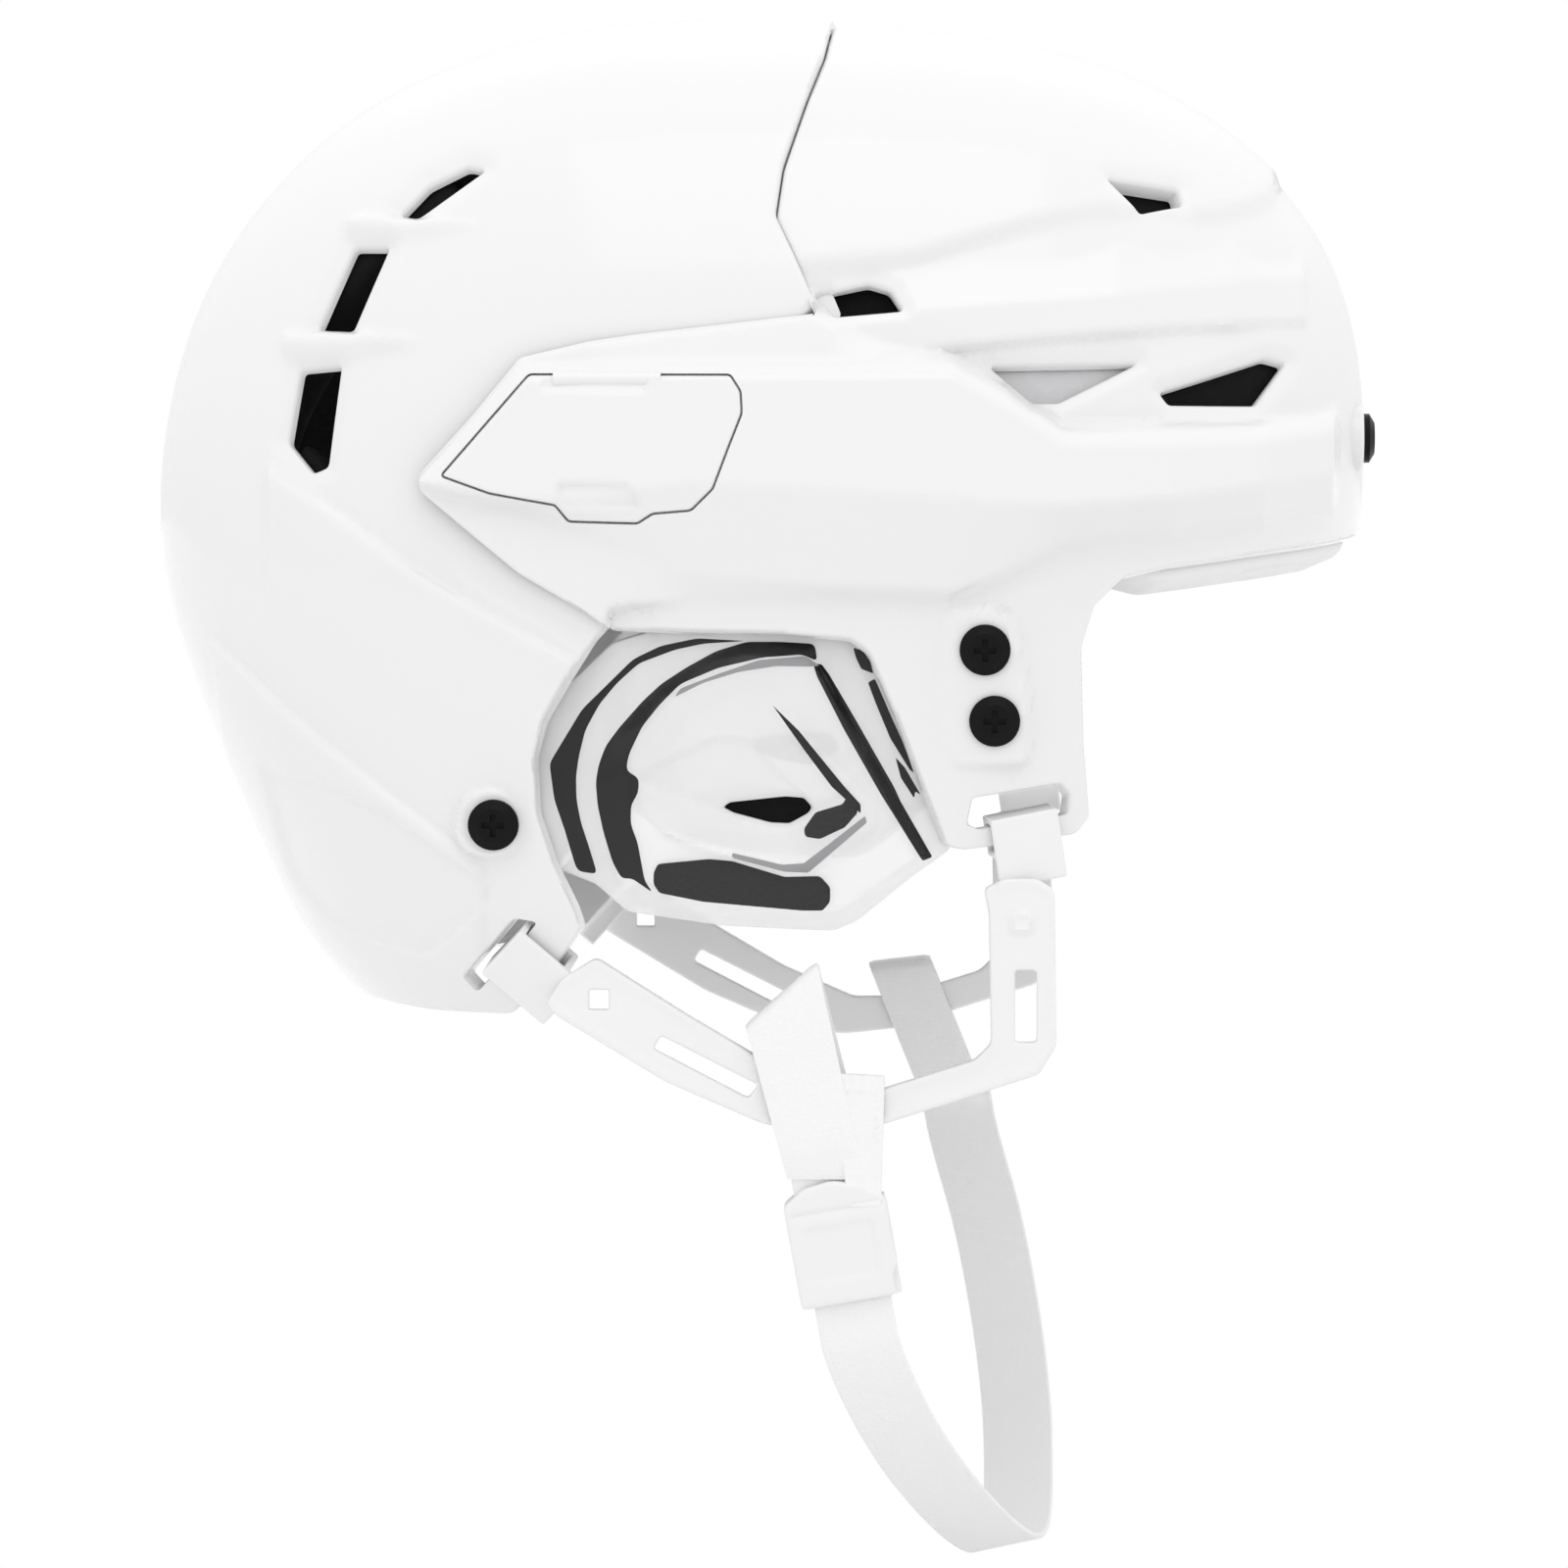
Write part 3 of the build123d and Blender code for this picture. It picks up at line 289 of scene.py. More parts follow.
def segments(loop, closed=True):
    """Start and end points of an outline's edges."""
    return (loop, np.roll(loop, -1, 0)) if closed else (loop[:-1], loop[1:])


BATCH = 3000


def edge_distance(points, lines):
    """Distance of each point to the nearest of several lists of segments."""
    best = np.full(len(points), 1e9)
    for start, end in lines:
        run = (end - start)[None]
        length = np.maximum((run ** 2).sum(-1), 1e-12)
        for first in range(0, len(points), BATCH):
            away = points[first:first + BATCH, None, :] - start[None]
            share = np.clip((away * run).sum(-1) / length, 0, 1)
            gap = np.sqrt(((away - share[..., None] * run) ** 2).sum(-1).min(1))
            best[first:first + BATCH] = np.minimum(best[first:first + BATCH], gap)
    return best


def in_box(points, loop, margin=0.0):
    """Rows of the points in the box round an outline."""
    low, high = loop.min(0) - margin, loop.max(0) + margin
    return np.nonzero(((points >= low) & (points <= high)).all(1))[0]


def inside(points, loop):
    """Even-odd test of points against one closed loop."""
    result = np.zeros(len(points), bool)
    near = in_box(points, loop)
    ends = np.roll(loop, -1, 0)
    rise = ends[:, 1] - loop[:, 1]
    rise = np.where(np.abs(rise) < 1e-12, 1e-12, rise)
    for first in range(0, len(near), BATCH):
        rows = near[first:first + BATCH]
        p = points[rows]
        crosses = (loop[None, :, 1] > p[:, None, 1]) != (ends[None, :, 1] > p[:, None, 1])
        slope = (ends[:, 0] - loop[:, 0]) / rise
        at = loop[None, :, 0] + (p[:, None, 1] - loop[None, :, 1]) * slope[None]
        result[rows] = (crosses & (p[:, None, 0] < at)).sum(1) % 2 == 1
    return result


# Relief: heights over the side view on an even grid
class Relief:
    def __init__(self, low, high, step):
        self.low, self.step = np.array(low, float), step
        self.xs = np.arange(low[0], high[0], step)
        self.zs = np.arange(low[1], high[1], step)
        self.x, self.z = np.meshgrid(self.xs, self.zs)
        self.points = np.stack([self.x.ravel(), self.z.ravel()], 1)

    def mask(self, loop):
        """1 inside an outline and 0 outside it."""
        return inside(self.points, loop).reshape(self.x.shape).astype(float)

    def near(self, loop, width, closed=True):
        """1 on and inside an outline, falling to 0 at a width outside it."""
        result = np.zeros(len(self.points))
        rows = in_box(self.points, loop, width)
        gap = edge_distance(self.points[rows], [segments(loop, closed)])
        if closed:
            gap = np.where(inside(self.points[rows], loop), 0, gap)
        share = np.clip(1 - gap / width, 0, 1)
        result[rows] = share * share * (3 - 2 * share)
        return result.reshape(self.x.shape)

    def ramp(self, outer, inner):
        """0 outside the outer loop, 1 inside the inner one, and even between."""
        flat = inside(self.points, outer).astype(float)
        rows = np.nonzero(flat)[0]
        out = edge_distance(self.points[rows], [segments(outer)])
        into = edge_distance(self.points[rows], [segments(inner)])
        into = np.where(inside(self.points[rows], inner), 0, into)
        flat[rows] = out / np.maximum(out + into, 1e-6)
        return flat.reshape(self.x.shape)

    def blur(self, field, sigma):
        half = int(math.ceil(3 * sigma / self.step))
        kernel = bell(half, self.step, sigma)
        padded = np.pad(field, half, mode="edge")
        rows = sum(k * padded[:, i:i + field.shape[1]] for i, k in enumerate(kernel))
        return sum(k * rows[i:i + field.shape[0]] for i, k in enumerate(kernel))

    def sample(self, field, points):
        """Values of a field between its grid points."""
        at = (points - self.low) / self.step
        col = np.clip(at[:, 0], 0, field.shape[1] - 1.001)
        row = np.clip(at[:, 1], 0, field.shape[0] - 1.001)
        i, j = col.astype(int), row.astype(int)
        u, v = col - i, row - j
        low = field[j, i] * (1 - u) + field[j, i + 1] * u
        high = field[j + 1, i] * (1 - u) + field[j + 1, i + 1] * u
        return low * (1 - v) + high * v


def stations(table, lifts, xs, covers=False):
    """Heights of a form's lines at each x, and their distances from the symmetry plane."""
    table = np.array(table)
    places = table[:, 0] * SIDE_LENGTH
    heights = table[:, 1:] * CROWN_HEIGHT
    outs = side_y(places[:, None], heights) + np.array(lifts)
    if covers:
        cover = rear_cover(places[:, None], heights) + HOOD_WALL
        cover[HOOD_STATIONS:, 0] = 0
        outs[:SADDLE_STATIONS] = np.maximum(outs, cover)[:SADDLE_STATIONS]
    lines = [[np.interp(xs, places, column) for column in block.T] for block in (heights, outs)]
    return np.array(lines[0]), np.array(lines[1])


def built_up(grid, heights, outs, columns, plain, low_open, top_open):
    """Distance field of a form between its lines, and the plain surface elsewhere.

    Left of low_open and top_open the form ends at the sheet's own rim, so it runs on past it.
    """
    field = plain.copy()
    for column in columns:
        below = heights[0, column] - FORM_OVERRUN * (grid.xs[column] <= low_open)
        above = heights[-1, column] + FORM_OVERRUN * (grid.xs[column] <= top_open)
        line = np.interp(grid.zs, heights[:, column], outs[:, column])
        past = np.maximum(np.maximum(below - grid.zs, grid.zs - above), 0)
        line = np.where(past > FLANK_WIDTH, -1, line - past * FLANK_SLOPE)
        field[:, column] = np.maximum(field[:, column], line)
    return field


SIDE_LOW, SIDE_HIGH, SIDE_STEP = (-150, -62), (166, 196), 0.4
FORM_BLUR = 0.55
side = Relief(SIDE_LOW, SIDE_HIGH, SIDE_STEP)
plain = side_y(side.x, side.z)
wing_heights, wing_outs = stations(WING, WING_LIFTS, side.xs, True)
ledge_heights, ledge_outs = stations(LEDGE, LEDGE_LIFTS, side.xs)
low_open, top_open = [SEAM[corner][0] * SIDE_LENGTH for corner in (0, SEAM_CORNER)]
wing_columns = np.nonzero(side.xs < WING[-1][0] * SIDE_LENGTH)[0]
on_ledge = (side.xs > LEDGE[0][0] * SIDE_LENGTH) & (side.xs < LEDGE[-1][0] * SIDE_LENGTH)
ledge_columns = np.nonzero(on_ledge)[0]
winged = built_up(side, wing_heights, wing_outs, wing_columns, plain, low_open, top_open)
built = built_up(side, ledge_heights, ledge_outs, ledge_columns, winged, -np.inf, -np.inf)
built = np.maximum(built, side.mask(rounded(mm(TEMPLE_PAD), TEMPLE_PAD_ROUND)) * TEMPLE_FACE)
front_out = side.blur(built - plain, FORM_BLUR)
wing_face = side.blur(winged, FORM_BLUR)


# Sheets
SHARP_ANGLE = 40


def placed(name, data):
    """New object in the scene."""
    obj = bpy.data.objects.new(name, data)
    bpy.context.scene.collection.objects.link(obj)
    return obj


def build_mesh(name, verts, faces, materials, indices=None, sharp=SHARP_ANGLE):
    mesh = bpy.data.meshes.new(name)
    mesh.from_pydata((np.asarray(verts) * MM).tolist(), [], [[int(v) for v in face] for face in faces])
    for material in materials:
        mesh.materials.append(material)
    if indices is not None:
        mesh.polygons.foreach_set("material_index", np.asarray(indices, np.int32))
    mesh.shade_smooth()
    mesh.set_sharp_from_angle(angle=math.radians(sharp))
    return placed(name, mesh)


ON_EDGE, ON_MIDDLE = 1e-4, 1e-6
EDGE_ROWS = (0.13, 0.32, 0.62, 1.0)
EDGE_CLEAR = 0.93
CREASE_CLEAR = 0.07
GRID_START = (0.37, 0.29)
ROW_SPACING = 0.87
RIM_CLEAR = 0.4
LINE_CLEAR = 0.45


def within(points, rim, holes):
    """Which points are inside the rim and outside all holes."""
    keep = inside(points, rim)
    for hole in holes:
        keep &= ~inside(points, hole)
    return keep


def edge_rows(real, follow, edge):
    """Rows of points along both sides of a sheet's edges, for their rounding."""
    rows = []
    for share in EDGE_ROWS:
        for start, end in real:
            run = end - start
            normal = np.stack([-run[:, 1], run[:, 0]], 1)
            normal /= np.maximum(np.linalg.norm(normal, axis=1), 1e-9)[:, None]
            for sign in (1, -1):
                moved = (start + end) / 2 + normal * sign * edge * share
                rows.append(moved[edge_distance(moved, real) > EDGE_CLEAR * edge * share])
    if follow:
        rows = [row[edge_distance(row, follow) > CREASE_CLEAR] for row in rows]
    return rows


def grid_rows(rim, real, follow, spacing, edge, fine):
    """Even points over a sheet, with those inside the fine outlines at their own spacing."""
    grids = []
    low, high = rim.min(0), rim.max(0)
    for outline, step in [(None, spacing), *fine]:
        corner = low if outline is None else np.maximum(outline.min(0), low)
        limit = high if outline is None else np.minimum(outline.max(0), high)
        xs = np.arange(corner[0] + GRID_START[0] * step, limit[0], step)
        zs = np.arange(corner[1] + GRID_START[1] * step, limit[1], step * ROW_SPACING)
        grid = np.stack(np.meshgrid(xs, zs), -1)
        grid[1::2, :, 0] += step / 2
        grid = grid.reshape(-1, 2)
        if outline is not None:
            grids = [g[~inside(g, outline)] for g in grids]
            grid = grid[inside(grid, outline)]
        grid = grid[edge_distance(grid, real) > edge + RIM_CLEAR * step]
        if follow:
            grid = grid[edge_distance(grid, follow) > LINE_CLEAR * step]
        grids.append(grid)
    return grids


def triangulated(cloud, constraint, rim, holes):
    """Flat points of a sheet and the triangles between them, all turned the same way round."""
    result = delaunay_2d_cdt([Vector(p) for p in cloud], constraint, [], 0, 1e-6)
    flat = np.array([tuple(v) for v in result[0]])
    tris = np.array([f for f in result[2] if len(f) == 3])
    tris = tris[within(flat[tris].mean(1), rim, holes)]
    a, b, c = flat[tris[:, 0]], flat[tris[:, 1]], flat[tris[:, 2]]
    turn = (b[:, 0] - a[:, 0]) * (c[:, 1] - a[:, 1]) - (b[:, 1] - a[:, 1]) * (c[:, 0] - a[:, 0])
    tris = np.where((turn < 0)[:, None], tris[:, ::-1], tris)
    used = np.unique(tris)
    index = np.full(len(flat), -1)
    index[used] = np.arange(len(used))
    return flat[used], index[tris]


def sheet(name, rim, holes, top, bottom, spacing, edge, materials, middle=None, creases=(), loops=(),
          paint=None, back=None, fine=(), flip=False):
    """Closed sheet over a flat outline: top(points, drop) and bottom(points, drop) place it in space.

    middle marks the rim points on the symmetry line, where the sheet is open and meets its mirror image.
    creases are open lines and loops closed ones that the mesh follows. fine lists (outline, spacing).
    paint gives the material index of the faces at flat points, and back that of the inner faces.
    """
    middle = np.zeros(len(rim), bool) if middle is None else middle
    solid = ~(middle & np.roll(middle, -1))
    real = [(rim[solid], np.roll(rim, -1, 0)[solid])] + [segments(hole) for hole in holes]
    follow = [segments(line, False) for line in creases] + [segments(loop) for loop in loops]
    fixed, constraint, total = [], [], 0
    for line in [rim, *holes, *loops, *creases]:
        closed = not any(line is crease for crease in creases)
        count = len(line)
        fixed.append(line)
        constraint += [(total + i, total + (i + 1) % count) for i in range(count - (not closed))]
        total += count
    free = np.concatenate(
        edge_rows(real, follow, edge) + grid_rows(rim, real, follow, spacing, edge, fine)
    )
    cloud = np.concatenate(fixed + [free[within(free, rim, holes)]])
    flat, tris = triangulated(cloud, constraint, rim, holes)
    distance = np.minimum(edge_distance(flat, real), edge)
    distance = np.where(distance < ON_EDGE, 0, distance)
    drop = edge - np.sqrt(np.maximum(0, edge ** 2 - (edge - distance) ** 2))
    count = len(flat)
    verts = np.concatenate([top(flat, drop), bottom(flat, drop)])
    centre = flat[tris].mean(1)
    kind = np.zeros(len(tris), int) if paint is None else paint(centre)
    behind = kind if back is None else back(centre)
    on_line = np.abs(flat[:, 1]) < ON_MIDDLE if middle.any() else np.zeros(count, bool)
    pairs = np.concatenate([tris[:, [0, 1]], tris[:, [1, 2]], tris[:, [2, 0]]])
    known = set(map(tuple, pairs.tolist()))
    open_edges = np.array([
        pair for pair in pairs.tolist()
        if (pair[1], pair[0]) not in known and not (on_line[pair[0]] and on_line[pair[1]])
    ])
    start, end = open_edges.T
    walls = np.stack([end, start, start + count, end + count], 1)
    beside = np.zeros(len(walls), int) if paint is None else paint(flat[open_edges].mean(1))
    faces = tris.tolist() + (tris[:, ::-1] + count).tolist() + walls.tolist()
    indices = [*kind, *behind, *beside]
    if flip:
        faces = [face[::-1] for face in faces]
    if middle.any():
        both = np.concatenate([on_line, on_line])
        half = len(verts)
        twin = np.where(both, np.arange(half), np.arange(half) + half)
        faces += [[int(twin[v]) for v in face[::-1]] for face in faces]
        indices += indices
        verts = np.concatenate([verts, verts * (1, -1, 1)])
    return build_mesh(name, verts, faces, materials, indices)


def in_plane(flat, out, start, run, up, outward):
    """Flat points along a plane's two directions from its start, and out along its third."""
    run, up, outward = np.array(run), np.array(up), np.array(outward)
    return np.array(start) + flat[:, :1] * run + flat[:, 1:] * up + np.reshape(out, (-1, 1)) * outward


def mirrored(obj, name):
    """Copy of a right side piece on the left side."""
    mesh = obj.data.copy()
    mesh.name = name
    co = np.zeros(len(mesh.vertices) * 3, np.float32)
    mesh.vertices.foreach_get("co", co)
    co[1::3] *= -1
    mesh.vertices.foreach_set("co", co)
    mesh.flip_normals()
    return placed(name, mesh)


def joined(first, *others):
    """One object of several, with their materials kept."""
    bpy.ops.object.select_all(action="DESELECT")
    for obj in (first, *others):
        obj.select_set(True)
    bpy.context.view_layer.objects.active = first
    bpy.ops.object.join()
    return first


def dress(obj, body, slot, *replaced):
    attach(obj, body)
    if replaced:
        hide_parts(*replaced)


# Materials
def node(tree, kind, **values):
    """New shader node with the named inputs set, where _ stands for a space."""
    made = tree.nodes.new("ShaderNode" + kind)
    for key, value in values.items():
        made.inputs[key.replace("_", " ")].default_value = value
    return made


def link(tree, *pairs):
    for output, socket in pairs:
        tree.links.new(output, socket)


def principled(name, color, roughness, grain=None, kind="TexNoise", stretch=(1, 1, 1), **values):
    """Plain material. grain is the scale, strength and depth of its bump, and kind its texture."""
    material = bpy.data.materials.new(name)
    material.use_nodes = True
    tree = material.node_tree
    shader = tree.nodes["Principled BSDF"]
    shader.inputs["Base Color"].default_value = (*color, 1)
    shader.inputs["Roughness"].default_value = roughness
    for key, value in values.items():
        shader.inputs[key.replace("_", " ")].default_value = value
    if grain:
        scale, strength, depth = grain
        coords = node(tree, "TexCoord")
        mapping = node(tree, "Mapping", Scale=stretch)
        texture = node(tree, kind, Scale=scale)
        bump = node(tree, "Bump", Strength=strength, Distance=depth)
        link(
            tree, (coords.outputs["Object"], mapping.inputs["Vector"]),
            (mapping.outputs["Vector"], texture.inputs["Vector"]),
            (texture.outputs[0], bump.inputs["Height"]), (bump.outputs["Normal"], shader.inputs["Normal"]),
        )
    return material


CELLS = "TexVoronoi"
white = principled(
    "white_gloss", (0.80, 0.80, 0.803), 0.14, (900, 0.015, 0.0001), Coat_Weight=0.3, Coat_Roughness=0.04
)
satin = principled("white_satin", (0.83, 0.83, 0.833), 0.4, (1400, 0.05, 0.0001))
weave = principled("webbing_white", (0.87, 0.87, 0.873), 0.8, (1500, 0.35, 0.0002), CELLS, (1, 1, 1.6))
black = principled("black_coat", (0.004, 0.004, 0.004), 0.36, (700, 0.12, 0.0002), Specular_IOR_Level=0.12)
foam = principled(
    "black_foam", (0.004, 0.004, 0.004), 0.9, (260, 0.5, 0.0006), CELLS, Specular_IOR_Level=0.2,
)
grey_foam = principled("grey_foam", (0.58, 0.58, 0.59), 0.7, (160, 0.9, 0.001), CELLS)
liner = principled("pale_liner", (0.8, 0.8, 0.8), 0.7, (500, 0.3, 0.0003))
steel = principled("steel", (0.55, 0.55, 0.57), 0.3, Metallic=1.0)
# Painted reflection: near-black gloss for the guard's dark bands, where its clear facets reflect dark
# surroundings
black_reflection = principled("painted_black_reflection", (0.012, 0.012, 0.013), 0.14, Specular_IOR_Level=0.35)
# Painted reflection: grey gloss for the guard's paler bands along its steps
grey_reflection = principled("painted_grey_reflection", (0.30, 0.30, 0.31), 0.2, Specular_IOR_Level=0.3)
speckle = principled(
    "speckled_clear", (0.03, 0.03, 0.031), 0.6, (900, 0.8, 0.0005), CELLS, Specular_IOR_Level=0.3
)

# Thin clear plastic: part of the light goes straight through, and the rest meets a white gloss
CLEAR_SHARE = 0.38
clear = principled("clear_plastic", (0.95, 0.95, 0.95), 0.06)
tree = clear.node_tree
facing = node(tree, "LayerWeight", Blend=0.35)
share = node(tree, "MapRange", From_Min=0, From_Max=1, To_Min=CLEAR_SHARE, To_Max=0.0)
mix = node(tree, "MixShader")
link(
    tree, (facing.outputs["Facing"], share.inputs["Value"]), (share.outputs[0], mix.inputs[0]),
    (tree.nodes["Principled BSDF"].outputs[0], mix.inputs[1]),
    (node(tree, "BsdfTransparent").outputs[0], mix.inputs[2]),
    (mix.outputs[0], tree.nodes["Material Output"].inputs["Surface"]),
)

# Shells
EDGE_ROUND = 1.1
CUT_ROUND = 1.2
RIM_ROUND = 1.6
RIM_STEP, MIDDLE_STEP = 0.9, 1.4


def on_shell(points):
    return to_domain(rounded(mm(points), CUT_ROUND, step=0.5))


def shell_rim(shares):
    """Outline of half a shell on the unrolled surface, and which of its points are on the middle line."""
    line = rounded(mm(shares), RIM_ROUND, closed=False)
    rows = np.nonzero(fan_share(*line.T) < 1)[0]
    flat = to_domain(line[rows[0]:rows[-1] + 1])
    flat[[0, -1], 1] = 0
    flat = dense(flat, RIM_STEP, closed=False)
    closing = dense(np.stack([flat[-1], flat[0]]), MIDDLE_STEP, closed=False)[1:-1]
    closing[:, 1] = 0
    rim = np.concatenate([flat, closing])
    return rim, np.abs(rim[:, 1]) < ON_MIDDLE


def flat_xz(uv):
    """Side view point of a point on the unrolled surface."""
    return from_domain(uv, 0, 0)[:, [0, 2]]


def off_side(xz, out):
    """Points at a distance to the right of the middle over side view points."""
    return np.stack([xz[:, 0], -np.broadcast_to(out, len(xz)), xz[:, 1]], 1)


DARK_FROM = 0.31 * CROWN_HEIGHT


def lined(uv):
    """The shells are black inside behind the vents, and bare below them."""
    return (flat_xz(uv)[:, 1] > DARK_FROM).astype(int)


def form(loop, height, ease, blur):
    """Relief of one height inside an outline."""
    return side.blur(height * side.mask(rounded(loop, ease)), blur)


# Relief along the surface: heights, and the rounding or reach and the easing of each form
PANEL_RISE, PANEL_ROUND, PANEL_BLUR = 1.7, 3, 0.8
FRONT_RECESS, FRONT_RECESS_REACH = 1.0, 3.4
REAR_RECESS, REAR_RECESS_REACH = 1.3, 4.2
front_rise = form(mm(PANEL_EDGE), PANEL_RISE, PANEL_ROUND, PANEL_BLUR)
for vent in FRONT_VENTS:
    front_rise -= FRONT_RECESS * side.near(mm(vent), FRONT_RECESS_REACH)
rear_rise = np.zeros_like(plain)
for vent in REAR_VENTS:
    rear_rise -= REAR_RECESS * side.near(mm(vent), REAR_RECESS_REACH)
# Picture points of ridges, with their height and reach down, and of a hollow and ribs
RIDGES = [
    ([(275, 485), (345, 530), (430, 588), (520, 640), (622, 692)], 2.0, 28.8),
    ([(478, 588), (540, 625), (600, 662)], 0.8, 11.2),
    ([(215, 665), (300, 735), (400, 810), (500, 882)], 2.2, 28.8),
]
RIDGE_DEPTH, RIDGE_WIDTH, RIDGE_BLUR = 90, 1.6, 0.5
HOLLOW = [(268, 792), (330, 800), (400, 828), (500, 893), (508, 915), (440, 975), (330, 948), (290, 905)]
HOLLOW_DEPTH, HOLLOW_SINK, HOLLOW_ROUND, HOLLOW_BLUR = 88, 1.5, 5, 0.7
RIBS = [
    [(352, 232), (400, 232), (492, 240), (400, 252), (358, 250)],
    [(290, 352), (340, 346), (436, 356), (350, 372), (296, 372)],
]
RIB_DEPTH, RIB_RISE, RIB_ROUND, RIB_BLUR = 78, 1.6, 2, 0.8
NAPE_BLUR = 0.4
LINE_STEP = 0.7


def below_line(points, width, reach_down):
    """1 just below an open side view line, falling to 0 at a reach below it, 0 above it."""
    line = dense(points, LINE_STEP, closed=False)
    gap = edge_distance(side.points, [segments(line, False)]).reshape(side.x.shape)
    height = np.interp(side.x, np.sort(line[:, 0]), line[np.argsort(line[:, 0]), 1])
    sign = np.where(side.z < height, 1, -1)
    rise = np.clip(0.5 + sign * gap / width, 0, 1)
    fall = np.clip(1 - gap / reach_down, 0, 1)
    ends = (side.x > line[:, 0].min()) & (side.x < line[:, 0].max())
    return rise * np.where(sign > 0, fall, 1) * ends


for points, height, reach_down in RIDGES:
    ridge = below_line(seen(points, RIDGE_DEPTH), RIDGE_WIDTH, reach_down)
    rear_rise += side.blur(height * ridge, RIDGE_BLUR)
rear_rise -= form(seen(HOLLOW, HOLLOW_DEPTH), HOLLOW_SINK, HOLLOW_ROUND, HOLLOW_BLUR)
for rib in RIBS:
    rear_rise += form(seen(rib, RIB_DEPTH), RIB_RISE, RIB_ROUND, RIB_BLUR)
nape = mm([NAPE_SCREW])[0]
nape_face = side_y(*nape, REAR_LIFT, REAR_SPREAD) + SCREW_PAD_RISE
nape_disc = (np.hypot(side.x - nape[0], side.z - nape[1]) < SCREW_PAD_RADIUS).astype(float)
nape_rise = nape_face - side_y(side.x, side.z, REAR_LIFT, REAR_SPREAD)
rear_out = side.blur(nape_disc * nape_rise, NAPE_BLUR)


def raised(uv, drop, lift, spread, along, outward):
    """Points of a shell's outer face with its relief, along the surface and straight out to the side."""
    xz = flat_xz(uv)
    rise = side.sample(along, xz) - drop
    points = from_domain(uv, lift + rise, spread + rise)
    points[:, 1] -= side.sample(outward, xz)
    return points


CREASE_STEP = 0.8
SEAM_CREASES, SEAM_TRIM = (-0.2, 0.2), 3
LEDGE_TRIM = 2


def crease(points, offset, trim):
    """Line on the unrolled surface that a sheet's mesh follows, short of the sheet's rim."""
    return to_domain(dense(points + offset, CREASE_STEP, closed=False)[trim:-trim])


seam_side = mm(SEAM[:SEAM_CORNER + 1])
seam_lines = [crease(seam_side, (shift + SEAM_GAP / 2, 0), SEAM_TRIM) for shift in SEAM_CREASES]
POCKET_DEPTH = 2.6
POCKET_GAP = 0.2
POCKET_STEP = 0.3
GROWN_ROUND = 0.8


def grown(points, gap):
    """Outline moved outwards by a gap."""
    line = rounded(mm(points), GROWN_ROUND, step=0.4)
    run = np.roll(line, -1, 0) - np.roll(line, 1, 0)
    run /= np.linalg.norm(run, axis=1)[:, None]
    area = np.sum(line[:, 0] * np.roll(line[:, 1], -1) - np.roll(line[:, 0], -1) * line[:, 1])
    return line + np.stack([run[:, 1], -run[:, 0]], 1) * np.sign(area) * gap


lever_loop = grown(LEVER, 0)
pocket_loops = [grown(LEVER, POCKET_GAP), grown(LEVER, POCKET_GAP + POCKET_STEP)]
pocket_domain = [to_domain(loop) for loop in pocket_loops]


def front_top(uv, drop):
    """Outer face of the front shell, sunk under the levers."""
    points = raised(uv, drop, 0, 0, front_rise, front_out)
    sunk = inside(flat_xz(uv), (pocket_loops[0] + pocket_loops[1]) / 2)
    points[:, 1] += sunk * POCKET_DEPTH
    return points


def front_bottom(uv, drop):
    """Inner face of the front shell, which clears the sliding rear shell under the wings' hoods."""
    points = from_domain(uv, -WALL, -WALL)
    xz = flat_xz(uv)
    border = np.interp(xz[:, 1], seam_side[:, 1], seam_side[:, 0] + SEAM_GAP / 2)
    hood = (xz[:, 0] < border) & (xz[:, 1] < seam_side[-1, 1]) & (uv[:, 1] > 0)
    return np.where(hood[:, None], off_side(xz, rear_cover(xz[:, 0], xz[:, 1])), points)


ledge_side = mm([row[:2] for row in LEDGE])
ledge_lines = [crease(ledge_side, (0, shift), LEDGE_TRIM) for shift in (-FLANK_WIDTH, 0)]
front_shares = [(x + SEAM_GAP / SIDE_LENGTH, z) for x, z in SEAM[:SEAM_CORNER - 1:-1]]
front_shares += HOOD_TOP + HOOD_LOW + [SEAM[0]] + FACE_EDGE[::-1]
front_rim, front_middle = shell_rim(front_shares)
front_holes = [on_shell(outline) for outline in [*FRONT_VENTS, FRONT_SLOT]]
FINE_FRONT = [(0.060, 0.650), (0.092, 0.710), (0.320, 0.750), (0.505, 0.760), (0.500, 0.360), (0.186, 0.290)]
FINE_STEP, FINE_SPACING = 2, 1.0
fine_wing = to_domain(dense(mm(HOOD_TOP[::-1] + FINE_FRONT + HOOD_LOW[::-1]), FINE_STEP))
front = sheet(
    "front_shell_skin", front_rim, front_holes, front_top, front_bottom, spacing=1.7, edge=EDGE_ROUND,
    materials=[white, foam], middle=front_middle, creases=seam_lines + ledge_lines,
    loops=pocket_domain, back=lined, fine=[(fine_wing, FINE_SPACING)],
)
rear_rim, rear_middle = shell_rim(SEAM[::-1] + NAPE_EDGE)
rear_holes = [on_shell(outline) for outline in [*REAR_VENTS, REAR_SLOT]]
rear = sheet(
    "rear_shell_skin", rear_rim, rear_holes,
    lambda uv, drop: raised(uv, drop, REAR_LIFT, REAR_SPREAD, rear_rise, rear_out),
    lambda uv, drop: from_domain(uv, REAR_LIFT - WALL, REAR_SPREAD - WALL),
    spacing=1.5, edge=EDGE_ROUND, materials=[white, foam], middle=rear_middle, back=lined,
)
dress(front, "front", "shell_white", "front_shell")
dress(rear, "rear", "shell_white", "rear_shell")

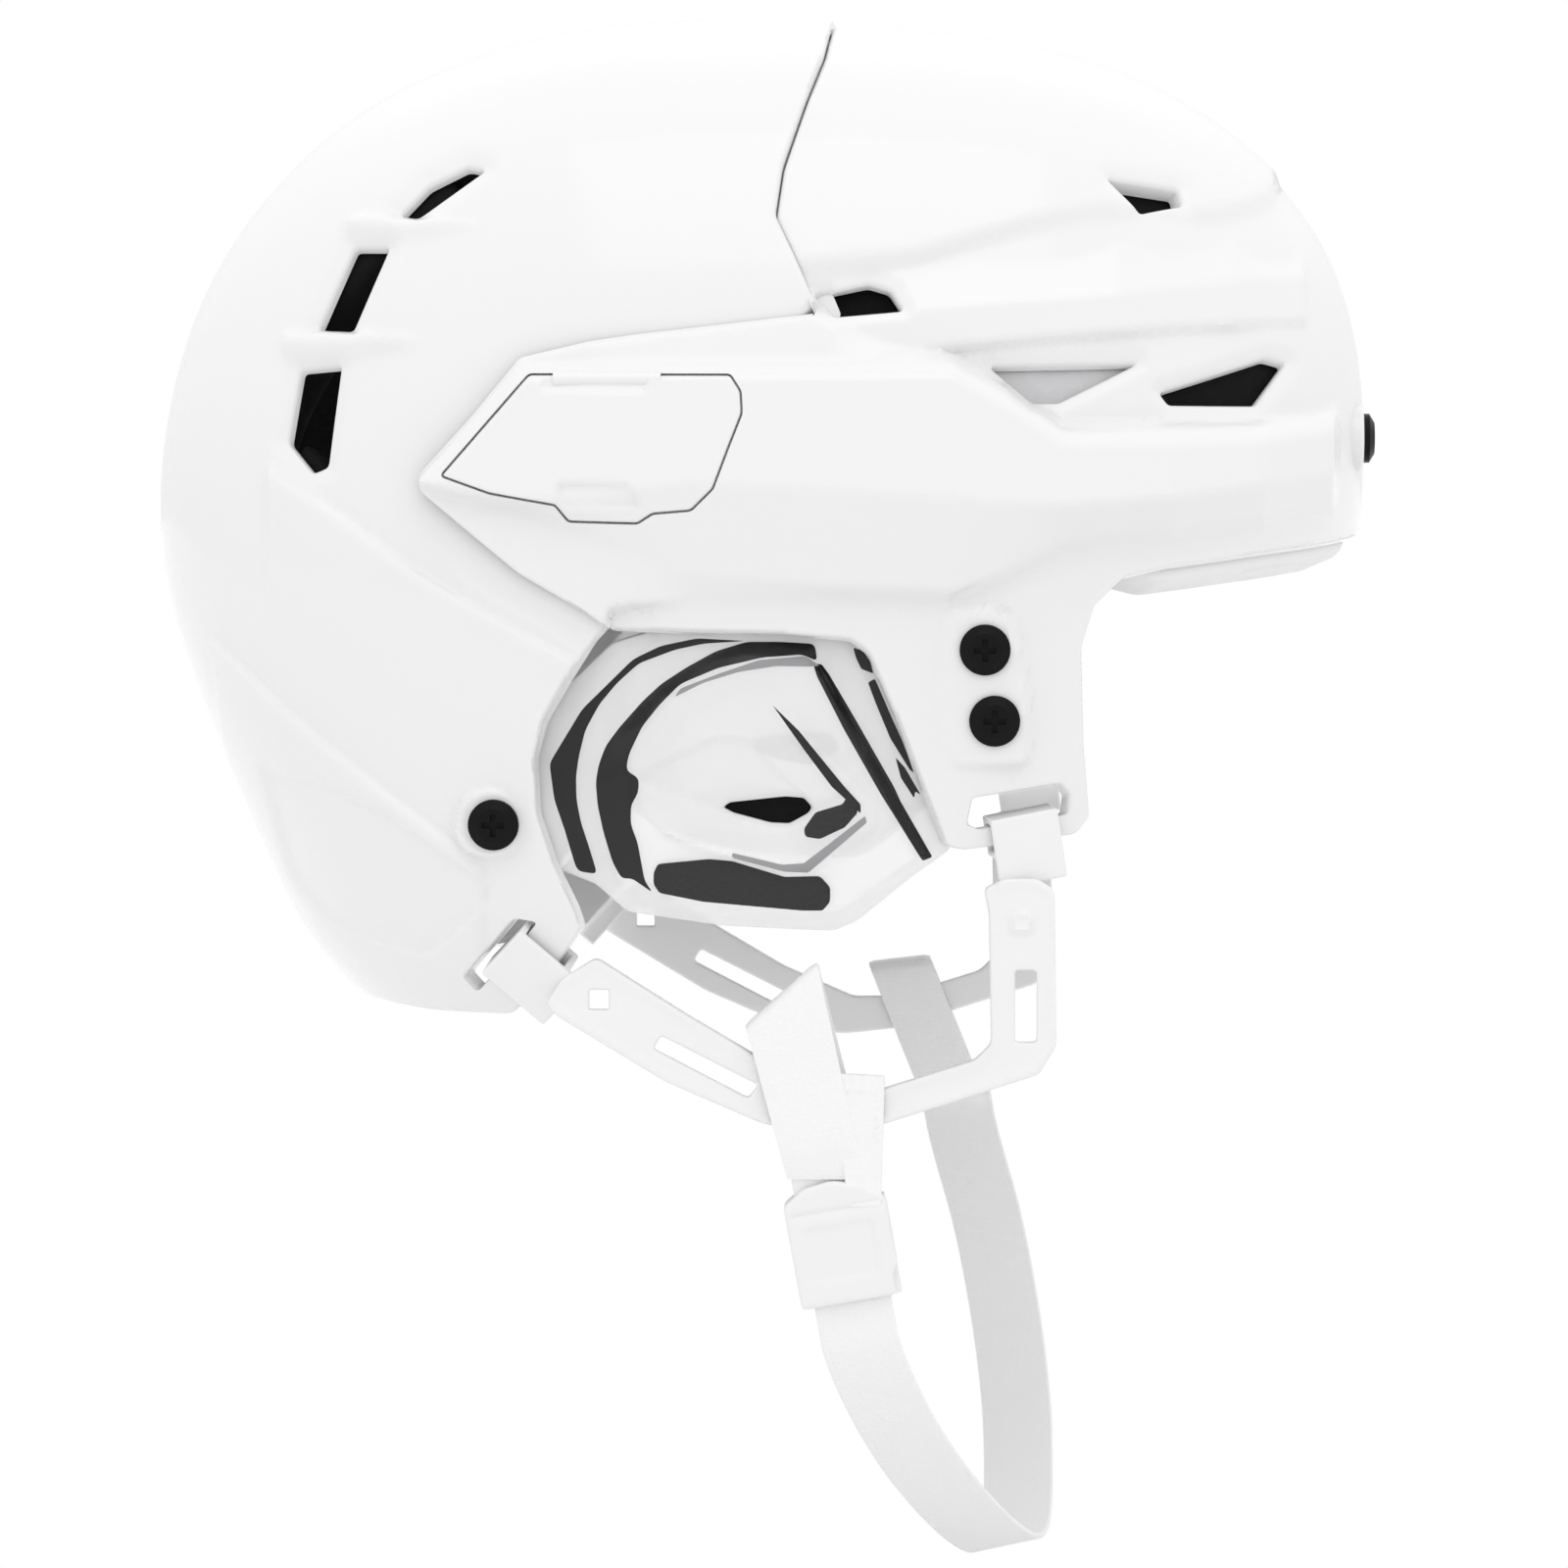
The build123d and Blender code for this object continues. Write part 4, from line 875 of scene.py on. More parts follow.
# Tongues of the front shell that run on under the rear one
TONGUE_LOW = (-0.079, 0.294)
TONGUE_REACH = 24.0
TONGUE_ROOT = 6.0
TONGUE_TOP, TONGUE_BOTTOM = (-1.1, -2.4), (-3.6, -4.4)
tongue_line = [TONGUE_LOW] + SEAM[1:]
tongue_shares = [(x + TONGUE_ROOT / SIDE_LENGTH, z) for x, z in tongue_line[::-1]]
tongue_shares += [(x - TONGUE_REACH / SIDE_LENGTH, z) for x, z in tongue_line]
tongue_rim, tongue_middle = shell_rim(tongue_shares)
tongue = sheet(
    "front_shell_tongue", tongue_rim, [], lambda uv, drop: from_domain(uv, *TONGUE_TOP),
    lambda uv, drop: from_domain(uv, *TONGUE_BOTTOM), spacing=3.0, edge=0.6, materials=[white, foam],
    middle=tongue_middle, back=lined,
)
dress(tongue, "front", "shell_white")


def cylinder(name, start, end, radius, sides):
    """White cylinder from point to point."""
    run = Vector(end) - Vector(start)
    bpy.ops.mesh.primitive_cylinder_add(vertices=sides, radius=radius * MM, depth=run.length * MM)
    obj = bpy.context.object
    obj.name = name
    obj.rotation_mode = "QUATERNION"
    obj.rotation_quaternion = run.to_track_quat("Z", "Y")
    obj.location = (Vector(start) + Vector(end)) / 2 * MM
    obj.data.materials.append(white)
    return obj


# Round pads behind the brow screws
BEVEL_STEPS = 3
BROW_FACE = 147.7
BROW_SIDE = 28.0
BROW_HEIGHT = 90.16
BROW_PAD_DEPTH = 5.4
BOSS_SIDES, BOSS_BEVEL = 48, 0.8
for name, y in (("brow_boss_right", -BROW_SIDE), ("brow_boss_left", BROW_SIDE)):
    back, face = [(x, y, BROW_HEIGHT) for x in (BROW_FACE - BROW_PAD_DEPTH, BROW_FACE)]
    boss = cylinder(name, back, face, SCREW_PAD_RADIUS, BOSS_SIDES)
    bevel = boss.modifiers.new("edge", "BEVEL")
    bevel.width, bevel.segments = BOSS_BEVEL * MM, BEVEL_STEPS
    boss.data.shade_smooth()
    boss.data.set_sharp_from_angle(angle=math.radians(SHARP_ANGLE))
    dress(boss, "front", "shell_white")

# Levers
LEVER_WALL = 2.2
THUMB_SLOT = [(550, 387), (659, 387), (659, 398), (550, 398)]
THUMB_SLOT_DEPTH, THUMB_SLOT_SINK, THUMB_SLOT_ROUND = 104, 0.8, 1.0
SCOOP = [(566, 494), (640, 494), (655, 518), (570, 518)]
SCOOP_DEPTH, SCOOP_SINK, SCOOP_ROUND = 105, 1.1, 3
LEVER_BLUR = 0.35
thumb_slot = seen(THUMB_SLOT, THUMB_SLOT_DEPTH)
lever_detail = THUMB_SLOT_SINK * side.mask(rounded(thumb_slot, THUMB_SLOT_ROUND))
lever_detail += SCOOP_SINK * side.mask(rounded(seen(SCOOP, SCOOP_DEPTH), SCOOP_ROUND))
lever_detail = side.blur(lever_detail, LEVER_BLUR)


def lever_face(xz, sink):
    return off_side(xz, side.sample(wing_face, xz) - sink)


right_lever = sheet(
    "right_lever_flap", lever_loop, [],
    lambda xz, drop: lever_face(xz, drop + side.sample(lever_detail, xz)),
    lambda xz, drop: lever_face(xz, LEVER_WALL), spacing=0.9, edge=0.5, materials=[white],
    loops=[rounded(thumb_slot, 0.8, step=0.4)], flip=True,
)
HINGE_RADIUS, HINGE_SIDES, HINGE_LINE = 1.8, 32, 3
HINGE = ((-0.127, 0.570), (-0.042, 0.570))
PAWL = [(-0.075, 0.486), (-0.075, 0.512), (-0.033, 0.512), (-0.033, 0.486)]
PAWL_TIP, PAWL_ROOT = 94.07, 99.94
hinge_ends = [(x, -float(side_y(x, z)) - WING_LIFTS[HINGE_LINE] + HINGE_RADIUS, z) for x, z in mm(HINGE)]
barrel = cylinder("barrel", *hinge_ends, HINGE_RADIUS, HINGE_SIDES)
pawl = sheet(
    "pawl", rounded(mm(PAWL), 0.6, step=0.5), [], lambda xz, drop: off_side(xz, PAWL_ROOT),
    lambda xz, drop: off_side(xz, PAWL_TIP), spacing=1.5, edge=0.3, materials=[white], flip=True,
)
right_lever = joined(right_lever, barrel, pawl)
left_lever = mirrored(right_lever, "left_lever_flap")
dress(right_lever, "right_lever", "shell_white", "right_lever")
dress(left_lever, "left_lever", "shell_white", "left_lever")

# Ear guards
GUARD = [
    (-0.152, 0.060), (-0.149, 0.112), (-0.120, 0.195), (-0.082, 0.250), (-0.030, 0.275), (0.110, 0.275),
    (0.150, 0.290), (0.232, 0.290), (0.243, 0.210), (0.243, 0.110), (0.205, 0.100), (0.193, 0.020),
    (0.184, -0.004), (0.155, -0.036), (0.112, -0.090), (0.093, -0.102), (0.008, -0.096), (-0.070, -0.079),
    (-0.095, -0.045), (-0.138, -0.020),
]
GUARD_FACE = 94.0
GUARD_WALL = 2.0
GUARD_STEP = 3.4
GUARD_DOME = 500.0
# Forms of the guard and its dark bands, which are painted reflections of dark surroundings, in points of the
# photograph's closeup
ARCH_OUT = [
    (980, 105), (860, 98), (745, 98), (640, 130), (540, 185), (455, 240), (390, 300), (310, 390),
    (262, 455), (238, 520), (228, 580), (235, 660), (255, 750), (285, 850), (318, 912), (335, 960),
    (400, 1010), (580, 1035), (1000, 1070), (1090, 1060), (1300, 905), (1385, 845), (1270, 640),
    (1130, 380), (1030, 210),
]
ARCH_IN = [
    (960, 178), (850, 178), (700, 200), (600, 235), (500, 285), (430, 350), (380, 420), (340, 490),
    (330, 540), (345, 650), (350, 720), (375, 780), (390, 850), (402, 920), (432, 955), (600, 985),
    (1000, 1020), (1075, 1012), (1270, 880), (1335, 838), (1210, 620), (1085, 400), (1000, 215),
]
DIAMOND = [
    (370, 572), (395, 540), (530, 475), (650, 424), (735, 428), (800, 480), (985, 665), (970, 695),
    (895, 738), (850, 740), (690, 690),
]
SLOT = [
    (668, 662), (690, 645), (880, 625), (945, 630), (972, 662), (960, 682), (895, 718), (830, 715),
    (700, 680),
]
CHEVRON = [
    (837, 310), (930, 398), (1090, 560), (1195, 660), (1180, 735), (980, 870), (900, 888), (850, 880),
    (550, 797), (420, 725), (700, 812), (870, 853), (950, 850), (1135, 680), (1120, 650), (960, 470),
]
PILL = [
    (430, 885), (445, 855), (620, 838), (700, 845), (880, 900), (1000, 897), (1035, 935), (1035, 985),
    (1010, 1016), (940, 1016), (600, 985), (450, 955), (430, 925),
]
TRAPEZOID = [
    (985, 678), (1080, 650), (1095, 615), (1125, 650), (1130, 680), (1085, 730), (1000, 770), (950, 762),
    (945, 735),
]
OUTER_BAND = [
    (68, 515), (180, 330), (355, 158), (450, 112), (575, 86), (745, 95), (600, 104), (500, 125), (375, 172),
    (300, 240), (240, 312), (192, 400), (170, 490), (160, 560), (162, 640), (178, 720), (205, 800),
    (234, 895), (165, 885), (150, 840), (120, 740), (85, 640),
]
# How many points the arch's dark band shares with the arch's outer line
SHARED_POINTS = 15
ARCH_BAND = ARCH_OUT[:SHARED_POINTS] + [
    (352, 905), (430, 955), (400, 915), (388, 850), (375, 780), (352, 720), (352, 655), (378, 610),
    (380, 560), (335, 535), (345, 480), (390, 385), (450, 310), (520, 240), (650, 185), (800, 150),
    (940, 140), (990, 165),
]
# Outline of a grey band, a painted reflection in a step of the guard
GREY_BAND = [
    (650, 205), (790, 158), (950, 145), (1000, 180), (960, 180), (850, 178), (720, 198), (600, 235),
    (500, 285), (520, 255),
]
RIGHT_BAND = [
    (975, 170), (1005, 175), (1030, 210), (1130, 380), (1255, 600), (1275, 645), (1385, 838), (1352, 850),
    (1260, 700), (1210, 620), (1085, 400), (990, 215),
]
RIGHT_BAR = [(1163, 238), (1187, 225), (1250, 370), (1335, 555), (1308, 540), (1240, 430), (1190, 310)]
RIGHT_BLOB = [(1112, 118), (1145, 130), (1170, 165), (1182, 208), (1140, 192), (1122, 155)]
RIGHT_WEDGE = [(1258, 495), (1290, 530), (1345, 625), (1326, 612), (1322, 636), (1276, 565)]
CHEVRON_DARK = [
    (837, 310), (930, 400), (1085, 590), (1140, 650), (1140, 682), (1118, 662), (1040, 590), (950, 470),
]
CHEVRON_FOOT = [
    (700, 815), (870, 856), (945, 852), (1155, 690), (1162, 712), (960, 885), (880, 880), (700, 832),
]
SLOT_BACKING = [
    (650, 665), (680, 630), (880, 608), (950, 612), (992, 662), (970, 698), (895, 734), (830, 730),
    (690, 696),
]
# Material index of the pale inner face behind the painted reflections and the speckled patches
PALE_BACK = 4
BAND_EASE, GREY_BAND_EASE, BAR_EASE = 2.0, 1.2, 0.5
ARCH_ROUND = 1.5
GUARD_BLUR = 0.3
GUARD_DEPTH = 96.5
# Forms on the dome: outline, height and rounding
GUARD_FORMS = ((DIAMOND, -0.9, 1.5), (CHEVRON, 1.0, 1.0), (PILL, -0.9, 2.0))


def guard_loop(points, radius=0.8):
    """Outline on the ear guard from points of the photograph's closeup."""
    return rounded(seen(np.array(points) / CLOSEUP_SCALE + CLOSEUP_CORNER, GUARD_DEPTH), radius, step=0.4)


GUARD_LOW, GUARD_HIGH, GUARD_GRID_STEP = (-44, -24), (74, 58), 0.25
guard_grid = Relief(GUARD_LOW, GUARD_HIGH, GUARD_GRID_STEP)
arch_loops = [guard_loop(points, ARCH_ROUND) for points in (ARCH_OUT, ARCH_IN)]
guard_rise = GUARD_STEP * guard_grid.ramp(*arch_loops)
for points, height, radius in GUARD_FORMS:
    guard_rise += height * guard_grid.mask(guard_loop(points, radius))
guard_rise = guard_grid.blur(guard_rise, GUARD_BLUR)
# Outlines of the painted dark reflections on the guard
reflection_band_loops = [guard_loop(points, BAND_EASE) for points in (OUTER_BAND, ARCH_BAND)]
for points in (RIGHT_BAND, RIGHT_BAR, RIGHT_BLOB, RIGHT_WEDGE, CHEVRON_DARK):
    reflection_band_loops.append(guard_loop(points, BAR_EASE))
# Outlines of the painted grey reflections, along the arch's inner step and the chevron's foot
grey_band_loops = [guard_loop(GREY_BAND, GREY_BAND_EASE), guard_loop(CHEVRON_FOOT, BAR_EASE)]
speckle_loops = [guard_loop(points) for points in (PILL, TRAPEZOID)]


def guard_place(xz, out):
    """Points at a distance off the ear guard's domed outer face."""
    rise = GUARD_DOME - np.sqrt(GUARD_DOME ** 2 - xz[:, 0] ** 2 - xz[:, 1] ** 2)
    return off_side(xz, GUARD_FACE - rise + guard_grid.sample(guard_rise, xz) + out)


# Material index at flat points: painted dark reflection, painted grey reflection, then the speckled patches
def guard_paint(xz):
    kind = np.zeros(len(xz), int)
    for index, group in enumerate((reflection_band_loops, grey_band_loops, speckle_loops), 1):
        for loop in group:
            kind[inside(xz, loop)] = index
    return kind


right_guard = sheet(
    "right_ear_guard_shell", rounded(mm(GUARD), 2.0, step=0.6), [guard_loop(SLOT)],
    lambda xz, drop: guard_place(xz, -drop), lambda xz, drop: guard_place(xz, -GUARD_WALL),
    spacing=1.0, edge=0.6, materials=[clear, black_reflection, grey_reflection, speckle, liner],
    loops=reflection_band_loops + grey_band_loops + speckle_loops, paint=guard_paint,
    back=lambda xz: np.where(guard_paint(xz) > 0, PALE_BACK, 0), flip=True,
)
BACKING_TOP, BACKING_BOTTOM = 0.2, 1.4
backing = sheet(
    "slot_backing", guard_loop(SLOT_BACKING, 1.5), [],
    lambda xz, drop: guard_place(xz, -GUARD_WALL - BACKING_TOP),
    lambda xz, drop: guard_place(xz, drop - GUARD_WALL - BACKING_BOTTOM), spacing=1.5, edge=0.4,
    materials=[foam], flip=True,
)
right_guard = joined(right_guard, backing)
left_guard = mirrored(right_guard, "left_ear_guard_shell")
dress(right_guard, "front", "clear_guard", "right_ear_guard")
dress(left_guard, "front", "clear_guard", "left_ear_guard")

# Ear loops
LOOP_PLANE = 96.2
LOOP_WALL = 2.4
LOOP = [
    (-0.126, -0.206), (-0.134, -0.192), (-0.121, -0.160), (-0.094, -0.134), (-0.024, -0.202),
    (0.031, -0.252), (0.093, -0.294), (0.132, -0.294), (0.205, -0.258), (0.218, -0.238), (0.216, -0.078),
    (0.212, -0.048), (0.228, -0.036), (0.254, -0.036), (0.268, -0.050), (0.270, -0.240), (0.256, -0.276),
    (0.132, -0.338), (0.085, -0.346), (0.038, -0.338), (-0.039, -0.287),
]
LOOP_CUTS = [
    [(-0.043, -0.230), (0.034, -0.290), (0.026, -0.306), (-0.049, -0.246)],
    [(0.237, -0.148), (0.254, -0.148), (0.254, -0.236), (0.237, -0.236)],
]
LOOP_HOLE = (-0.092, -0.186)
LOOP_PEG = (0.242, -0.087)
HOLE_SIDE, PEG_HOLLOW_SIDE = 4.4, 2.6
PEG_RISE, PEG_HOLLOW = 1.0, 0.6
BORDER_WIDTH, BORDER_RISE, BORDER_EDGE, BORDER_SLOPE = 2.2, 0.5, 0.2, 1.2
BORDER_BLUR, PEG_BLUR = 0.4, 0.2
FACE_SINK = 0.4
BACK_EASE = 0.6
FOLD_GAP, FOLD_WALL, FOLD_WIDTH = 1.0, 1.5, 15.6
SLOPE_SPAN = 2.84
# Ends of the bar in each fold, its shell's lift and spread, and the length of its tail
FOLDS = [
    (((0.243, 0.0295), (0.2452, 0.0065)), 0, 0, 9.0),
    (((-0.162, -0.134), (-0.137, -0.167)), REAR_LIFT, REAR_SPREAD, 6.5),
]


def square(centre, size):
    return mm([centre]) + np.array([(-1, -1), (1, -1), (1, 1), (-1, 1)]) * size / 2


loop_rim = rounded(mm(LOOP), 2.0, step=0.6)
border = side.near(loop_rim, BORDER_EDGE) - side.near(grown(LOOP, -BORDER_WIDTH), BORDER_SLOPE)
peg = PEG_RISE * side.mask(square(LOOP_PEG, HOLE_SIDE))
peg -= PEG_HOLLOW * side.mask(square(LOOP_PEG, PEG_HOLLOW_SIDE))
loop_rise = side.blur(BORDER_RISE * np.clip(border, 0, 1), BORDER_BLUR) + side.blur(peg, PEG_BLUR)


def across(run, vector):
    """Direction of the part of a vector that is square to a run."""
    return (vector - run * vector.dot(run)).normalized()


def fold(bar_shares, lift, spread, tail):
    """Moulded band round the bar between a slot and the shell's edge, with its tail on the ear loop."""
    start, end = [Vector((x, -float(side_y(x, z, lift, spread)), z)) for x, z in mm(bar_shares)]
    middle = (start + end) / 2
    east, west, high, low = [
        float(side_y(middle.x + SLOPE_SPAN * i, middle.z + SLOPE_SPAN * j, lift, spread))
        for i, j in ((1, 0), (-1, 0), (0, 1), (0, -1))
    ]
    outward = Vector(((west - east) / (2 * SLOPE_SPAN), -1, (low - high) / (2 * SLOPE_SPAN)))
    run = (end - start).normalized()
    outward = across(run, outward)
    bar = (end - start).length
    inner_far, inner_deep = bar + FOLD_GAP, -WALL - FOLD_GAP
    near, far = -FOLD_GAP - FOLD_WALL, inner_far + FOLD_WALL
    out, deep = FOLD_GAP + FOLD_WALL, inner_deep - FOLD_WALL
    outline = [
        (near, out), (bar + tail, out), (bar + tail, FOLD_GAP), (far, FOLD_GAP), (far, deep), (near, deep),
    ]
    hollow = [(-FOLD_GAP, FOLD_GAP), (inner_far, FOLD_GAP), (inner_far, inner_deep), (-FOLD_GAP, inner_deep)]
    axes = (start, run, outward, outward.cross(run))
    return sheet(
        "fold", rounded(outline, 0.9, step=0.25), [rounded(hollow, 0.8, step=0.25)],
        lambda flat, drop: in_plane(flat, FOLD_WIDTH / 2 - drop, *axes),
        lambda flat, drop: in_plane(flat, drop - FOLD_WIDTH / 2, *axes), spacing=1.5, edge=0.5,
        materials=[satin],
    )


loop_holes = [rounded(mm(cut), 1.4, step=0.4) for cut in LOOP_CUTS]
loop_holes.append(rounded(square(LOOP_HOLE, HOLE_SIDE), 0.4, step=0.3))
right_loop = sheet(
    "right_ear_loop_strap", loop_rim, loop_holes,
    lambda xz, drop: off_side(xz, LOOP_PLANE - FACE_SINK - drop + side.sample(loop_rise, xz)),
    lambda xz, drop: off_side(xz, LOOP_PLANE - LOOP_WALL + BACK_EASE * drop), spacing=1.3, edge=0.7,
    materials=[satin], flip=True,
)
right_loop = joined(right_loop, *[fold(*item) for item in FOLDS])
left_loop = mirrored(right_loop, "left_ear_loop_strap")
for loop, name in ((right_loop, "right_ear_loop"), (left_loop, "left_ear_loop")):
    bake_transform(loop)
    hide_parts(name)

# Foam pads: the body of each, and its span along the fan and across the arch in degrees
LINER_DEPTH = 12.0
LINER_GAP = 0.6
PADS = {
    "crown_pad": ("front", (68.0, 92.0, -37.0, 37.0)),
    "right_temple_pad": ("front", (68.0, 92.0, -70.0, -42.0)),
    "left_temple_pad": ("front", (68.0, 92.0, 42.0, 70.0)),
    "rear_crown_pad": ("rear", (112.0, 148.0, -38.0, 38.0)),
    "occipital_pad": ("rear", (160.0, 196.0, -34.0, 34.0)),
    "right_rear_pad": ("rear", (136.0, 172.0, -66.0, -44.0)),
    "left_rear_pad": ("rear", (136.0, 172.0, 44.0, 66.0)),
}
BROW_PAD = [
    (0.600, 0.350), (0.500, 0.350), (0.443, 0.342), (0.363, 0.328), (0.330, 0.340), (0.290, 0.420),
    (0.185, 0.620), (0.272, 0.940), (0.400, 1.200), (0.600, 1.200),
]


def arch_run(turn):
    """Unrolled distance of an arch turn, positive on the right side."""
    return -math.copysign(float(np.interp(math.radians(abs(turn)), TURNS, ARC)), turn)


def pad(name, body, rim, lift, spread, edge=3.0, materials=(foam,), paint=None, middle=None):
    """Foam pad of the liner, from its outer face's lift and spread inwards."""
    piece = sheet(
        name + "_foam", rim, [], lambda uv, drop: from_domain(uv, lift - drop, spread - drop),
        lambda uv, drop: from_domain(uv, lift - LINER_DEPTH + drop, spread - LINER_DEPTH + drop),
        spacing=3.0, edge=edge, materials=list(materials), middle=middle, paint=paint,
    )
    dress(piece, body, "foam_black", name)


PAD_ROUND = 5
# Lift and spread of the pads' outer faces under each shell
PAD_FACES = {
    "front": (-3.8, -5.2),
    "rear": (REAR_LIFT - WALL - LINER_GAP, REAR_SPREAD - WALL - LINER_GAP),
}
for name, (body, (fan_a, fan_b, turn_a, turn_b)) in PADS.items():
    low, high = arch_run(turn_a), arch_run(turn_b)
    corners = np.array([(fan_a, low), (fan_b, low), (fan_b, high), (fan_a, high)]) * (PER_DEGREE, 1)
    pad(name, body, rounded(corners, PAD_ROUND, step=1.0), *PAD_FACES[body])
brow_rim, brow_middle = shell_rim(BROW_PAD[::-1])
LINER_EDGE = 0.40 * CROWN_HEIGHT
GREY_PATCH = mm([(0.180, 0.620), (0.343, 0.620), (0.343, 0.510), (0.180, 0.510)])


def brow_paint(uv):
    """Pale along the brow's edge, grey behind the middle vent, and black above."""
    xz = flat_xz(uv)
    return np.where(inside(xz, GREY_PATCH), 2, (xz[:, 1] < LINER_EDGE).astype(int))


brow_lift = -WALL - LINER_GAP
brow_foams = (foam, liner, grey_foam)
pad("brow_pad", "front", brow_rim, brow_lift, brow_lift, 2.5, brow_foams, brow_paint, brow_middle)

# Chin strap
WEBBING = 17.5
WEBBING_THICK = 1.5
WEBBING_LEAN = 0.22
STRAP_ROUTE = [
    (25.1, -95.0, -70.0), (32.6, -93.2, -112.0), (38.4, -84.0, -128.0), (45.2, -67.0, -143.0),
    (53.2, -45.0, -157.5), (60.4, -19.0, -169.5), (65.4, 8.0, -177.0), (67.8, 38.0, -178.5),
    (68.4, 62.0, -170.5), (67.8, 78.0, -155.0), (65.2, 87.0, -135.0), (60.6, 91.6, -111.5),
    (54.6, 94.2, -90.0), (52.2, 95.0, -78.0),
]
STRAIGHT = 2
ROUTE_STEPS = 10
ROUTE_LEAD = 0.6
EDGE_TURN, EDGE_STEPS = 1.2, 5
RIBBON_SHARP, END_SHARP = 50, 60


def smooth_route(points):
    """Even points along a smooth curve through a route's points, straight over its first run."""
    points = np.array(points, float)
    first = dense(points[:STRAIGHT], 2.0, closed=False)
    rest = points[STRAIGHT - 1:]
    before = points[:1] + (points[STRAIGHT - 1] - points[:1]) * ROUTE_LEAD
    padded = np.concatenate([before, rest, rest[-1:] * 2 - rest[-2:-1]])
    out = [first[:-1]]
    t = np.linspace(0, 1, ROUTE_STEPS, endpoint=False)[:, None]
    for a, b, c, d in zip(padded, padded[1:], padded[2:], padded[3:]):
        bend, twist = 2 * a - 5 * b + 4 * c - d, 3 * b - a - 3 * c + d
        out.append(0.5 * (2 * b + (c - a) * t + bend * t ** 2 + twist * t ** 3))
    out.append(rest[-1:])
    return np.concatenate(out)


def unit(vectors):
    return vectors / np.linalg.norm(vectors, axis=-1)[..., None]


def tube(name, rings, sharp):
    """Closed mesh of webbing through rings of points."""
    count, around = rings.shape[:2]
    rows = np.arange(count * around).reshape(count, around)
    turned = np.roll(rows, -1, 1)
    sides = np.stack([rows[:-1], turned[:-1], turned[1:], rows[1:]], -1)
    faces = [*sides.reshape(-1, 4), rows[0, ::-1], rows[-1]]
    return build_mesh(name, rings.reshape(-1, 3), faces, [weave], sharp=sharp)


def ribbon(name, points, lean):
    """Flat webbing with rounded edges along a route, from the direction of its width."""
    runs = unit(np.gradient(points, axis=0))
    wide = unit(lean - runs * (runs @ lean)[:, None])
    flat, rise = WEBBING / 2 - WEBBING_THICK / 2, WEBBING_THICK / 2
    turns = np.linspace(-EDGE_TURN, EDGE_TURN, EDGE_STEPS)
    arc = [(flat + rise * math.cos(a), rise * math.sin(a)) for a in turns]
    half = [(flat, -rise), *arc, (flat, rise)]
    shape = np.array([(-flat, -rise), *half, (-flat, rise)] + [(-x, z) for x, z in arc[::-1]])
    sideways, through = shape[None, :, :1], shape[None, :, 1:]
    rings = points[:, None] + sideways * wide[:, None] + through * np.cross(runs, wide)[:, None]
    return tube(name, rings, RIBBON_SHARP)


strap = ribbon("chin_webbing", smooth_route(STRAP_ROUTE), np.array([1.0, 0.0, WEBBING_LEAN]))

FOOT_EASE = 0.7
FOOT_SHARE = 0.23
END_OUTER, END_INNER = 98.1, 91.9
END_COLUMNS, END_TURNS, END_STEPS = 12, 9, 10
EDGE_THIN = 0.55


def wrapped(name, front_foot, front_top, back_foot, sign):
    """Webbing that goes up one face of an ear loop, round its upper edge and down the other face."""
    middle, radius = (END_OUTER + END_INNER) / 2, (END_OUTER - END_INNER - WEBBING_THICK) / 2
    corners = mm([front_foot, front_top, back_foot])
    rows = []
    for t in np.linspace(0, 1, END_COLUMNS):
        foot, top, back = corners[:, 0] * (1 - t) + corners[:, 1] * t
        path = []
        for s in np.linspace(0, 1, END_STEPS):
            ease = FOOT_EASE * max(0, 1 - s / FOOT_SHARE) ** 2
            path.append((*(foot + (top - foot) * s), middle + radius * (1 - ease)))
        for angle in np.linspace(0, math.pi, END_TURNS)[1:-1]:
            over = top + unit(top - foot) * radius * math.sin(angle)
            path.append((*over, middle + radius * math.cos(angle)))
        path += [(*(top + (back - top) * s), middle - radius) for s in np.linspace(0, 1, END_STEPS)]
        rows.append(path)
    x, z, depth = np.moveaxis(np.array(rows), -1, 0)
    grid = np.stack([x, sign * depth, z], -1)
    normal = unit(np.cross(np.gradient(grid, axis=1), np.gradient(grid, axis=0)))
    thin = np.full(END_COLUMNS, WEBBING_THICK / 2)
    thin[[0, -1]] *= EDGE_THIN
    rise = normal * thin[:, None, None]
    rings = np.concatenate([(grid + rise)[::-1], grid - rise]).transpose(1, 0, 2)
    return tube(name, rings, END_SHARP)


near_end = wrapped(
    "near_end", [(0.057, -0.404), (0.118, -0.404)], [(0.027, -0.232), (0.083, -0.154)],
    [(0.062, -0.392), (0.122, -0.392)], -1,
)
FAR_FOOT = [(0.153, -0.428), (0.210, -0.428)]
far_end = wrapped("far_end", FAR_FOOT, [(0.110, -0.262), (0.164, -0.252)], FAR_FOOT, 1)
TAB = [(846, 1095), (903, 1098), (899, 1232), (866, 1232)]
TAB_OUT, TAB_IN = 97.6, 96.45
STITCH_ROWS = [
    [(866, 1106), (896, 1107)], [(862, 1113), (896, 1114)], [(862, 1118), (868, 1180)],
    [(895, 1118), (893, 1165)],
]
STITCH_PITCH, STITCH_LENGTH, STITCH_WIDTH, STITCH_RISE = 2.0, 1.3, 0.5, 0.3
STITCHES = Relief((18, -98), (44, -54), step=0.15)
stitch_rise = np.zeros_like(STITCHES.x)
for row in STITCH_ROWS:
    ends = seen(row, TAB_OUT)
    along = (STITCHES.points - ends[0]) @ unit(ends[1] - ends[0])
    dashes = (np.mod(along, STITCH_PITCH) < STITCH_LENGTH).reshape(STITCHES.x.shape)
    stitch_rise += STITCH_RISE * STITCHES.near(ends, STITCH_WIDTH, closed=False) * dashes
